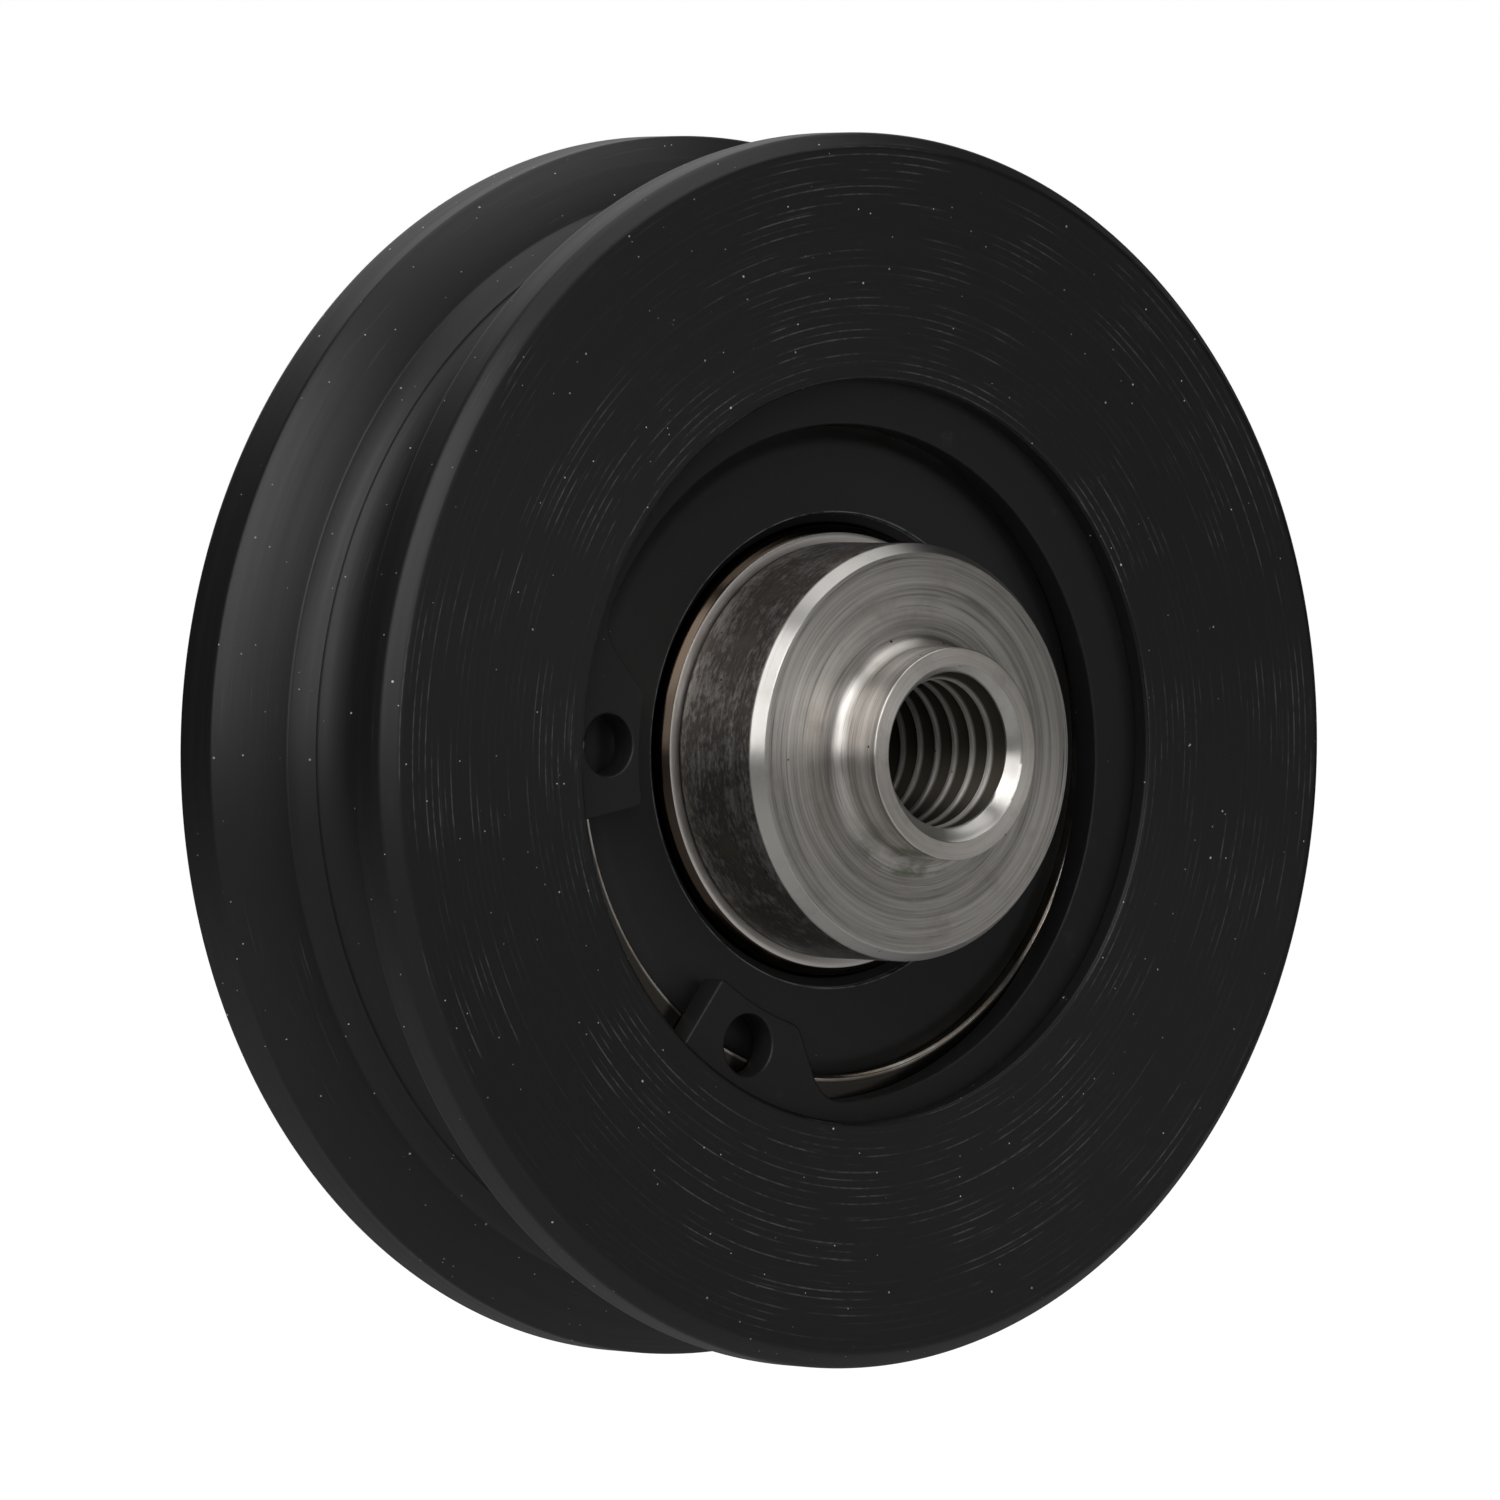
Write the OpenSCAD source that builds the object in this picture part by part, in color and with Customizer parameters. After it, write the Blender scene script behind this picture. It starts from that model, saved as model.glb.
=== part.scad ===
// V groove wheel on a sealed ball bearing with a threaded steel hub.
//
// Every turned piece is drawn as a half section (radius across, axle position up)
// and revolved, then laid on its side by on_axle(): the axle runs along Y, the
// threaded side faces -Y, and the origin is the middle of the wheel's width.

/* [Wheel body] */
// Diameter over the two flanges
wheel_d = 70; // [66:0.5:80]
// Width over the two flange faces
wheel_w = 19.5; // [18.5:0.5:24]
// Chamfer on the outer edge of each flange
rim_chamfer = 0.85; // [0.3:0.05:1.2]

/* [V groove] */
// Width of the groove at the flange diameter
groove_w = 12.9; // [11:0.1:13.5]
// Angle between the two walls of the groove
groove_angle = 90; // [84:1:96]
// Radius of the rounded bottom of the groove
groove_root_r = 3.2; // [2:0.1:4]
// How far the groove sits towards the threaded side
groove_shift = 0.3; // [-0.5:0.1:0.5]

/* [Bearing seat] */
// Depth of the bearing's face below the wheel's front face
seat_depth = 2.95; // [2.8:0.05:3.6]
// Bore left in the shoulder behind the bearing
shoulder_bore_d = 36; // [34:0.5:38]
// Chamfer at the mouth of the seat and of the shoulder bore
mouth_chamfer = 0.2; // [0.1:0.05:0.6]

/* [Ball bearing] */
// Bore of the inner ring
bearing_bore = 20; // [18:0.5:20.5]
// Outside diameter of the outer ring
bearing_od = 42; // [41:0.5:44]
// Width of both rings
bearing_w = 12; // [12:0.25:13]
// Diameter of one ball
ball_d = 6.35; // [5.8:0.05:6.5]
// Number of balls
ball_count = 9; // [6:1:9]
// Radial play between a ball and each race
ball_play = 0.03; // [0.02:0.01:0.08]
// Depth of both races below the shoulders beside them
race_depth = 1.3; // [1:0.05:1.4]
// How far the inner ring drops from its shoulders to the lands under the seal lips
land_drop = 0.8; // [0.6:0.05:1]
// Chamfer on the outer corners of both rings
ring_chamfer = 0.5; // [0.2:0.05:0.8]

/* [Seals] */
// Depth of a seal's flat below the ring faces
seal_recess = 0.35; // [0.2:0.05:0.45]
// Thickness of a seal's flat wall
seal_t = 0.9; // [0.7:0.05:1]
// How far the seat for a seal's rim lies outside the outer ring's shoulder
seal_seat_step = 1.05; // [0.9:0.05:1.2]
// Radial width of the slope round a seal's outer edge
seal_slope_w = 1; // [0.6:0.1:1.2]
// How far that slope falls
seal_slope_drop = 0.4; // [0.2:0.05:0.5]
// Depth of the snap groove that holds the seal's bead
seal_bead = 0.4; // [0.2:0.05:0.5]
// Radial gap between a seal's lip and the inner ring
lip_gap = 0.15; // [0.1:0.05:0.25]
// Radial length of a seal's thin lip
lip_len = 0.55; // [0.4:0.05:1]

/* [Ball cage] */
// Thickness of the two pressed cage halves
cage_t = 0.55; // [0.4:0.05:0.6]
// Radial width of the cage ribbon
cage_w = 2.8; // [2.4:0.1:3]
// Play between a ball and its pocket
pocket_play = 0.12; // [0.08:0.02:0.16]
// Diameter of a cage rivet's shank
rivet_d = 1.1; // [0.8:0.1:1.2]
// Diameter of a cage rivet's heads
rivet_head_d = 1.8; // [1.4:0.1:1.9]
// Height of a cage rivet's heads
rivet_head_h = 0.35; // [0.2:0.05:0.45]

/* [Bore retaining ring] */
// Thickness of the ring that holds the bearing in the wheel
bore_ring_t = 1.75; // [1.5:0.05:1.8]
// Depth of its groove in the wall of the seat
bore_groove_depth = 1.25; // [1:0.05:1.5]
// Radial width of the ring opposite its gap
bore_ring_wide = 4.35; // [3.8:0.05:4.6]
// Radial width of the ring where it meets its lugs
bore_ring_narrow = 1.75; // [1.4:0.05:2.6]
// Radial length of the two lugs, from the ring's outer edge
bore_lug_len = 6.2; // [5.8:0.1:6.6]
// Angle of the gap between the two lugs
bore_gap = 41.8; // [36:0.2:46]
// Angle that each lug spans
bore_lug_span = 22.5; // [20:0.5:25]
// Distance of the two plier holes from the ring's outer edge
bore_hole_inset = 3.9; // [3.6:0.1:4.1]
// Diameter of each plier hole
bore_hole_d = 3.5; // [2.5:0.1:3.7]
// Angle from a lug's end face to its plier hole
bore_hole_angle = 12; // [10:0.5:13]
// Direction that the gap points, seen from the threaded side
bore_gap_dir = 211.9; // [0:0.1:360]

/* [Threaded hub] */
// Outside diameter of the collar
collar_d = 23.6; // [22.5:0.1:25]
// Length of the collar in front of the bearing
collar_len = 6.95; // [5.5:0.05:10]
// Length along the axle of the collar's front chamfer
collar_chamfer_len = 0.75; // [0.3:0.05:1]
// Radial depth of the collar's front chamfer
collar_chamfer_drop = 0.5; // [0.2:0.05:1]
// Diameter of the spigot boss
boss_d = 12; // [11.5:0.1:14]
// Length of the spigot boss
boss_len = 3.25; // [2.5:0.05:6]
// Fillet round the foot of the boss
boss_fillet = 1.1; // [0.5:0.05:1.5]
// Nominal diameter of the thread
thread_d = 10; // [8:1:10]
// Pitch of the thread
thread_pitch = 1.5; // [1:0.25:1.5]
// Chamfer at the hub's rear end
tail_chamfer = 0.6; // [0.2:0.1:0.8]

/* [Shaft retaining ring] */
// Thickness of the ring that holds the hub in the bearing
shaft_ring_t = 1.2; // [1:0.05:1.2]
// Depth of its groove in the hub
shaft_groove_depth = 0.5; // [0.3:0.05:0.6]
// Length of hub left behind the groove
shaft_tail = 1.5; // [1.2:0.1:2.4]
// Radial width of the ring opposite its gap
shaft_ring_wide = 2.6; // [2.2:0.1:2.7]
// Radial width of the ring where it meets its lugs
shaft_ring_narrow = 1.5; // [1.2:0.1:1.8]
// Radial length of the two lugs, from the ring's inner edge
shaft_lug_len = 3.85; // [3.5:0.05:4.2]
// Angle of the gap between the two lugs
shaft_gap = 24; // [18:1:34]
// Angle that each lug spans
shaft_lug_span = 20; // [18:1:24]
// Diameter of each plier hole
shaft_hole_d = 2; // [1.4:0.1:2.2]
// Direction that the gap points, seen from the threaded side
shaft_gap_dir = 75; // [0:1:360]

/* [Hidden] */
$fn = 96;
eps = 1;                                   // how far a cut runs past the metal
groove_play = 0.05;                        // play of a retaining ring in its groove
race_fit = 1.04;                           // race radius over ball radius

wheel_r = wheel_d / 2;
front_z = wheel_w / 2;
rear_z = -wheel_w / 2;

bearing_r = bearing_od / 2;
shaft_r = bearing_bore / 2;
bearing_front_z = front_z - seat_depth;
bearing_rear_z = bearing_front_z - bearing_w;
bearing_mid_z = bearing_front_z - bearing_w / 2;
pitch_r = (shaft_r + bearing_r) / 2;
ball_r = ball_d / 2;
race_r = ball_r * race_fit;
race_offset = race_r - ball_r - ball_play;
inner_shoulder_r = pitch_r - ball_r - ball_play + race_depth;
outer_shoulder_r = pitch_r + ball_r + ball_play - race_depth;
inner_land_r = inner_shoulder_r - land_drop;
ball_step = 360 / ball_count;

seal_outer_z = bearing_w / 2 - seal_recess;
seal_inner_z = seal_outer_z - seal_t;
seal_seat_r = outer_shoulder_r + seal_seat_step;
seal_bead_z = seal_inner_z + seal_t / 3;
lip_tip_r = inner_land_r + lip_gap;
lip_root_r = lip_tip_r + lip_len;
lip_top_z = seal_outer_z - seal_t / 3;
land_end_z = seal_inner_z - lip_gap;
shoulder_end_z = land_end_z - land_drop / 2;

pocket_r = ball_r + pocket_play;
cage_inner_r = pitch_r - cage_w / 2;
cage_outer_r = pitch_r + cage_w / 2;

bore_groove_r = bearing_r + bore_groove_depth;
bore_ring_or = bore_groove_r - groove_play;
bore_ring_ir = bore_ring_or - (bore_ring_wide + bore_ring_narrow) / 2;
bore_ring_shift = (bore_ring_wide - bore_ring_narrow) / 2;
bore_ring_z = bearing_front_z + bore_ring_t;
bore_lug_r = bore_ring_or - bore_lug_len;
bore_hole_circle_r = bore_ring_or - bore_hole_inset;

collar_r = collar_d / 2;
boss_r = boss_d / 2;
collar_front_z = bearing_front_z + collar_len;
boss_front_z = collar_front_z + boss_len;
thread_minor_r = (thread_d - 1.0825 * thread_pitch) / 2;
thread_mouth_r = thread_d / 2;
thread_chamfer = thread_mouth_r - thread_minor_r;
shaft_groove_z = bearing_rear_z - shaft_ring_t - 2 * groove_play;
tail_z = shaft_groove_z - shaft_tail;
shaft_groove_r = shaft_r - shaft_groove_depth;
shaft_ring_ir = shaft_groove_r + groove_play;
shaft_ring_or = shaft_ring_ir + (shaft_ring_wide + shaft_ring_narrow) / 2;
shaft_ring_shift = (shaft_ring_wide - shaft_ring_narrow) / 2;
shaft_lug_r = shaft_ring_ir + shaft_lug_len;

black_plastic = [0.07, 0.07, 0.07];
black_steel = [0.16, 0.16, 0.17];
black_rubber = [0.1, 0.1, 0.1];
bright_steel = [0.75, 0.75, 0.77];
turned_steel = [0.62, 0.61, 0.6];

// ---- Helpers ----

// Lays a piece that was drawn along Z on the wheel's own axle, front side to -Y.
module on_axle() {
    rotate([90, 0, 0]) children();
}

// A half section whose left and right are radius and whose height is axle position.
module turned() {
    rotate_extrude($fn = 180) children();
}

// A rectangle of a half section, between two radii and two axle positions.
module band(r_in, r_out, z_low, z_high) {
    translate([r_in, z_low]) square([r_out - r_in, z_high - z_low]);
}

// A 45 degree corner cut of a half section: the corner's place and the two ways it opens.
module corner_cut(r, z, size, r_way, z_way) {
    polygon([
        [r + r_way * eps, z + z_way * eps],
        [r + r_way * eps, z - z_way * (size + eps) + z_way * eps],
        [r, z - z_way * size],
        [r - r_way * size, z],
        [r - r_way * (size + eps) + r_way * eps, z + z_way * eps]
    ]);
}

// A point at a radius and an angle.
function polar(r, angle) = [r * cos(angle), r * sin(angle)];

// A pie slice from one angle to another, less than a half turn.
module slice(from, to, r) {
    mid = (from + to) / 2;
    polygon([[0, 0], polar(r, from), polar(r / cos(to - mid), mid), polar(r, to)]);
}

// Copies what it is given to both sides of a line through the origin.
module both_sides() {
    children();
    mirror([0, 1]) children();
}

// ---- Wheel body ----

// The tool's shape for the groove: two straight walls tangent to a round bottom.
module groove_section() {
    half = groove_angle / 2;
    apex_r = wheel_r - groove_w / 2 / tan(half);
    root_r = apex_r + groove_root_r / sin(half);
    tangent_r = root_r - groove_root_r * sin(half);
    tangent_z = groove_root_r * cos(half);
    lip_r = wheel_r + eps;
    lip_z = groove_w / 2 + eps * tan(half);
    translate([0, groove_shift]) {
        polygon([
            [tangent_r, -tangent_z], [lip_r, -lip_z],
            [lip_r, lip_z], [tangent_r, tangent_z]
        ]);
        translate([root_r, 0]) circle(r = groove_root_r, $fn = 96);
    }
}

module wheel_body() {
    color(black_plastic) on_axle() turned() difference() {
        band(shoulder_bore_d / 2, wheel_r, rear_z, front_z);
        band(0, bearing_r, bearing_rear_z, front_z + eps);
        band(0, bore_groove_r, bearing_front_z - groove_play, bore_ring_z + groove_play);
        groove_section();
        corner_cut(wheel_r, front_z, rim_chamfer, 1, 1);
        corner_cut(wheel_r, rear_z, rim_chamfer, 1, -1);
        corner_cut(bearing_r, front_z, mouth_chamfer, -1, 1);
        corner_cut(shoulder_bore_d / 2, rear_z, mouth_chamfer, -1, -1);
    }
}

// ---- Ball bearing ----

// Sets a half section at the middle of the bearing's width.
module in_bearing() {
    on_axle() translate([0, 0, bearing_mid_z]) children();
}

module bearing_outer_ring() {
    half_w = bearing_w / 2;
    color(bright_steel) in_bearing() turned() difference() {
        band(outer_shoulder_r, bearing_r, -half_w, half_w);
        translate([pitch_r - race_offset, 0]) circle(r = race_r, $fn = 96);
        both_sides() {
            band(0, seal_seat_r, seal_inner_z, half_w + eps);
            band(0, seal_seat_r + seal_bead, seal_inner_z, seal_bead_z);
            corner_cut(bearing_r, half_w, ring_chamfer, 1, 1);
            corner_cut(seal_seat_r, half_w, seal_recess / 2, -1, 1);
        }
    }
}

module bearing_inner_ring() {
    half_w = bearing_w / 2;
    color(bright_steel) in_bearing() turned() difference() {
        band(shaft_r, inner_shoulder_r, -half_w, half_w);
        translate([pitch_r + race_offset, 0]) circle(r = race_r, $fn = 96);
        both_sides() {
            polygon([
                [inner_land_r, half_w + eps], [inner_land_r, land_end_z],
                [inner_shoulder_r, shoulder_end_z], [inner_shoulder_r + eps, shoulder_end_z],
                [inner_shoulder_r + eps, half_w + eps]
            ]);
            corner_cut(inner_land_r, half_w, ring_chamfer, 1, 1);
            corner_cut(shaft_r, half_w, ring_chamfer, -1, 1);
        }
    }
}

// Puts something at each ball, or between the balls when turned by half a step.
module at_ball(i, turn = 0) {
    rotate([0, 0, (i - 1 + turn) * ball_step]) translate([pitch_r, 0, 0]) children();
}

module ball(i) {
    color(bright_steel) in_bearing() at_ball(i) sphere(r = ball_r, $fn = 64);
}

// One pressed half of the cage: flat lands between the balls, a cup over each ball.
module cage_half() {
    difference() {
        intersection() {
            union() {
                cylinder(r = cage_outer_r, h = cage_t, $fn = 180);
                for (i = [1 : ball_count]) at_ball(i) sphere(r = pocket_r + cage_t, $fn = 64);
            }
            cylinder(r = cage_outer_r, h = pocket_r + cage_t + eps, $fn = 180);
        }
        translate([0, 0, -eps])
            cylinder(r = cage_inner_r, h = pocket_r + cage_t + 3 * eps, $fn = 180);
        for (i = [1 : ball_count]) {
            at_ball(i) sphere(r = pocket_r, $fn = 64);
            at_ball(i, 0.5) translate([0, 0, -eps]) cylinder(d = rivet_d, h = cage_t + 2 * eps, $fn = 32);
        }
    }
}

module cage_front() {
    color(bright_steel) in_bearing() cage_half();
}

module cage_rear() {
    color(bright_steel) in_bearing() mirror([0, 0, 1]) cage_half();
}

// A rivet: a shank through both lands, with a coned head on each side.
module rivet() {
    cylinder(d = rivet_d, h = 2 * cage_t, center = true, $fn = 32);
    for (side = [0, 1]) mirror([0, 0, side]) translate([0, 0, cage_t])
        cylinder(d1 = rivet_head_d, d2 = rivet_d, h = rivet_head_h, $fn = 32);
}

module cage_rivets() {
    color(turned_steel) in_bearing() for (i = [1 : ball_count]) at_ball(i, 0.5) rivet();
}

// A seal: a flat wall that slopes down at its edge, a bead in the outer ring and a thin lip.
module seal() {
    color(black_rubber) in_bearing() turned() polygon([
        [lip_tip_r, seal_inner_z],
        [seal_seat_r + seal_bead, seal_inner_z],
        [seal_seat_r + seal_bead, seal_bead_z],
        [seal_seat_r, seal_bead_z],
        [seal_seat_r, seal_outer_z - seal_slope_drop],
        [seal_seat_r - seal_slope_w, seal_outer_z],
        [lip_root_r, seal_outer_z],
        [lip_root_r, lip_top_z],
        [lip_tip_r, seal_bead_z]
    ]);
}

module seal_front() {
    seal();
}

module seal_rear() {
    translate([0, -2 * bearing_mid_z, 0]) mirror([0, 1, 0]) seal();
}

// ---- Retaining rings ----

// The ring that holds the bearing: tapered towards its gap, with two drilled lugs. Each lug's
// far side runs straight from its foot, at the lug's edge, out to the ring's outer circle.
module bore_ring_section() {
    lug_end = bore_gap / 2;
    lug_far = lug_end + bore_lug_span;
    foot = polar(bore_lug_r, lug_far);
    slope = polar(bore_ring_or, lug_far + bore_lug_span / 2) - foot;
    reach = 2 * bore_ring_or;
    difference() {
        intersection() {
            circle(r = bore_ring_or, $fn = 180);
            union() {
                difference() {
                    circle(r = bore_ring_or + eps, $fn = 180);
                    translate([bore_ring_shift, 0]) circle(r = bore_ring_ir, $fn = 180);
                }
                both_sides() difference() {
                    polygon([
                        [0, 0], polar(reach, -lug_end), polar(reach, lug_far),
                        foot + 1.2 * slope, foot - 0.2 * slope
                    ]);
                    circle(r = bore_lug_r, $fn = 180);
                }
            }
        }
        slice(-lug_end, lug_end, reach);
        both_sides() rotate(lug_end + bore_hole_angle)
            translate([bore_hole_circle_r, 0]) circle(d = bore_hole_d, $fn = 48);
    }
}

module bore_retaining_ring() {
    color(black_steel) on_axle() translate([0, 0, bearing_front_z])
        linear_extrude(bore_ring_t) rotate(bore_gap_dir) bore_ring_section();
}

// The ring on the hub: the same idea turned inside out, with its lugs standing outwards.
module shaft_ring_section() {
    lug_end = shaft_gap / 2;
    lug_far = lug_end + shaft_lug_span;
    hole_circle_r = (shaft_ring_ir + shaft_lug_r) / 2;
    difference() {
        union() {
            translate([-shaft_ring_shift, 0]) circle(r = shaft_ring_or, $fn = 180);
            both_sides() intersection() {
                circle(r = shaft_lug_r, $fn = 180);
                slice(0, lug_far, 2 * shaft_lug_r);
            }
        }
        circle(r = shaft_ring_ir, $fn = 180);
        slice(-lug_end, lug_end, 2 * shaft_lug_r);
        both_sides() rotate((lug_end + lug_far) / 2)
            translate([hole_circle_r, 0]) circle(d = shaft_hole_d, $fn = 48);
    }
}

module shaft_retaining_ring() {
    color(black_steel) on_axle() translate([0, 0, bearing_rear_z - shaft_ring_t])
        linear_extrude(shaft_ring_t) rotate(shaft_gap_dir) shaft_ring_section();
}

// ---- Threaded hub ----

// Collar, filleted boss and shank in one turned piece, bored to the thread's inner diameter.
module threaded_hub() {
    foot_r = boss_r + boss_fillet;
    color(turned_steel) on_axle() turned() difference() {
        union() {
            band(thread_minor_r, shaft_r, tail_z, bearing_front_z + eps / 2);
            band(thread_minor_r, collar_r, bearing_front_z, collar_front_z);
            band(thread_minor_r, boss_r, collar_front_z - eps / 2, boss_front_z);
            difference() {
                band(thread_minor_r, foot_r, collar_front_z - eps / 2, collar_front_z + boss_fillet);
                translate([foot_r, collar_front_z + boss_fillet]) circle(r = boss_fillet, $fn = 64);
            }
        }
        polygon([
            [collar_r, collar_front_z - collar_chamfer_len],
            [collar_r + eps, collar_front_z - collar_chamfer_len],
            [collar_r + eps, collar_front_z + eps / 4],
            [collar_r - collar_chamfer_drop, collar_front_z + eps / 4],
            [collar_r - collar_chamfer_drop, collar_front_z]
        ]);
        band(shaft_groove_r, shaft_r + eps, shaft_groove_z, bearing_rear_z);
        corner_cut(shaft_r, tail_z, tail_chamfer, 1, -1);
        corner_cut(thread_minor_r, boss_front_z, thread_chamfer, -1, 1);
        corner_cut(thread_minor_r, tail_z, thread_chamfer, -1, -1);
    }
}

wheel_body();
bearing_outer_ring();
bearing_inner_ring();
for (i = [1 : ball_count]) ball(i);
cage_front();
cage_rear();
cage_rivets();
seal_front();
seal_rear();
bore_retaining_ring();
threaded_hub();
shaft_retaining_ring();
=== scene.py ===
# %% [markdown]
# # A V groove wheel, dressed round its CAD frame
# The wheel is a turned disc of black plastic on a sealed ball bearing, with a threaded steel
# hub in the middle. The CAD model already says where each piece is and what it moves with.
# This lesson gives the pieces that show their real surface: eased edges, a cut thread, and
# finishes that come from how each piece was made. We start by loading the frame.

# %% Load the frame
import math

import bmesh
import bpy
from mathutils import Matrix, Vector
from mathutils.geometry import tessellate_polygon


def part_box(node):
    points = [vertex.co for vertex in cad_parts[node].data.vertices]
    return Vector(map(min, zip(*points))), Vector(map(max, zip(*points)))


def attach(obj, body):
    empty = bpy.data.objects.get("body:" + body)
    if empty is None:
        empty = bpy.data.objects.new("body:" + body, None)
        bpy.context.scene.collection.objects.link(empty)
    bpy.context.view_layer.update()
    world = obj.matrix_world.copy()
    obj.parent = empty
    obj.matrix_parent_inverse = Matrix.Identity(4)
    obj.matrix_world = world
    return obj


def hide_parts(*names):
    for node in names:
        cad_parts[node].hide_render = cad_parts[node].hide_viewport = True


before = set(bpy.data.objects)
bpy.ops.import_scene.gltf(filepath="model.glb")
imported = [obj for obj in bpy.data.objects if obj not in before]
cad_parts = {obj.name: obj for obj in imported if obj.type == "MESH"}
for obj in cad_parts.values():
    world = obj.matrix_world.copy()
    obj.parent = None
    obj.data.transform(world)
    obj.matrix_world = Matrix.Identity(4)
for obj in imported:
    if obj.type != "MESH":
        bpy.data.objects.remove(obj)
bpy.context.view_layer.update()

MM = 0.001

# %% [markdown]
# ## Sizes from the frame
# Nearly every piece was turned on a lathe, so we describe pieces the way a turner does: a
# radius, and a place along the axle. Along is counted in millimetres from the wheel's middle
# towards the threaded side, which is -Y. Reading both from the CAD boxes means that nothing
# has to be fitted by eye.

# %% Read radii and places along the axle
def along(node):
    """Where a node starts and ends along the axle, in mm towards the threaded side."""
    low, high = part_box(node)
    return -high.y / MM, -low.y / MM


def outer_radius(node):
    """Half of a node's greatest width across the axle, in mm."""
    low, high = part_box(node)
    return max(high.x - low.x, high.z - low.z) / 2 / MM


wheel_r = outer_radius("wheel_body")
wheel_back, wheel_front = along("wheel_body")
bearing_r = outer_radius("bearing_outer_ring")
bearing_back, bearing_front = along("bearing_outer_ring")
bearing_middle = (bearing_back + bearing_front) / 2
hub_back, hub_front = along("threaded_hub")
collar_r = outer_radius("threaded_hub")
bore_ring_front = along("bore_retaining_ring")[1]
shaft_ring_back, shaft_ring_front = along("shaft_retaining_ring")
print(f"wheel radius {wheel_r:.2f} mm, from {wheel_back:.2f} to {wheel_front:.2f} mm")
print(f"bearing radius {bearing_r:.2f} mm, hub from {hub_back:.2f} to {hub_front:.2f} mm")

# %% [markdown]
# ## Camera
# The camera stands low and to the left of the axle, so the groove shows on the left and the
# hub points to the right. A long lens from three quarters of a metre keeps the circles nearly
# true ellipses. It could be aimed by hand. Building its three directions from the axle's
# turn and tilt is exact, and keeps the upright direction upright.

# %% Camera
AXLE_TURN = math.radians(40.22)
AXLE_TILT = math.radians(-1.19)
RIM_RIGHT, RIM_DOWN, RIM_AWAY = 6.33, 0.05, 766.5   # the front rim's centre from the lens, mm
LENS, SENSOR = 324.94, 36.0
NEAREST, FARTHEST = 0.01, 100.0                      # what the camera can see, in metres
RIM_CHAMFER = 0.85

towards_front = Vector((math.sin(AXLE_TURN) * math.cos(AXLE_TILT), -math.sin(AXLE_TILT),
                        -math.cos(AXLE_TURN) * math.cos(AXLE_TILT)))
upright = (Vector((0, -1, 0)) + towards_front.y * towards_front).normalized()
sideways = upright.cross(towards_front)
right, down, away = [Vector((sideways[i], -towards_front[i], upright[i])) for i in range(3)]

rim_centre = Vector((0, -(wheel_front - RIM_CHAMFER), 0))
lens_place = (rim_centre - RIM_RIGHT * right - RIM_DOWN * down - RIM_AWAY * away) * MM

camera_data = bpy.data.cameras.new("camera")
camera_data.lens = LENS
camera_data.sensor_width = SENSOR
camera_data.clip_start = NEAREST
camera_data.clip_end = FARTHEST
camera = bpy.data.objects.new("camera", camera_data)
bpy.context.scene.collection.objects.link(camera)
camera_turn = Matrix((right, -down, -away)).transposed().to_4x4()
camera.matrix_world = Matrix.Translation(lens_place) @ camera_turn
bpy.context.scene.camera = camera
print("camera stands", round((lens_place - rim_centre * MM).length, 3), "m away")

# %% [markdown]
# ## Writing materials as sums
# A procedural material is a small calculation at each point of the surface. Wiring it node by
# node hides the sum. So one class wraps a socket and lets Python's own operators add the Math
# nodes: 1 - mask is one line, and it reads as what it does.

# %% A socket that can be reckoned with
class Signal:
    """A number that varies over a surface. Operators on it add Math nodes."""

    def __init__(self, paint, socket):
        self.paint = paint
        self.socket = socket

    def reckon(self, operation, *terms):
        made = self.paint.node("ShaderNodeMath", {"operation": operation}, dict(enumerate(terms)))
        return made["Value"]

    def __add__(self, other):
        return self.reckon("ADD", self, other)

    def __radd__(self, other):
        return self.reckon("ADD", other, self)

    def __sub__(self, other):
        return self.reckon("SUBTRACT", self, other)

    def __rsub__(self, other):
        return self.reckon("SUBTRACT", other, self)

    def __mul__(self, other):
        return self.reckon("MULTIPLY", self, other)

    def __rmul__(self, other):
        return self.reckon("MULTIPLY", other, self)

    def __truediv__(self, other):
        return self.reckon("DIVIDE", self, other)

    def __neg__(self):
        return self.reckon("MULTIPLY", self, -1.0)

    def root(self):
        return self.reckon("SQRT", self)

    def most(self, other):
        return self.reckon("MAXIMUM", self, other)

    def nearest_whole(self):
        return self.reckon("ROUND", self)

    def off_whole(self):
        """How far a number is from the nearest whole number."""
        return self.reckon("PINGPONG", self, 0.5)

    def step_up(self, low, high):
        """0 below low, 1 above high, and a smooth rise between them."""
        settings = {"interpolation_type": "SMOOTHSTEP"}
        values = {"Value": self, "From Min": low, "From Max": high}
        return self.paint.node("ShaderNodeMapRange", settings, values)["Result"]

    def step_down(self, low, high):
        """1 below low, 0 above high, and a smooth fall between them."""
        return 1 - self.step_up(low, high)


print("a Signal turns sums, products and steps into Math nodes")

# %% [markdown]
# ## One method for every other node
# Noise, bumps, colour mixes and shaders are nodes of their own kinds. They could each be set up
# in place. One method that takes a node's type, its settings and the values of its sockets is
# shorter, and it links a signal or sets a constant as the value asks. Colours go through Mix,
# because a Math node would turn them grey.

# %% Any node by its type
class Made:
    """A node that was made, whose outputs are asked for by name."""

    def __init__(self, paint, node):
        self.paint = paint
        self.node = node

    def __getitem__(self, output):
        return Signal(self.paint, self.node.outputs[output])


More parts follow.
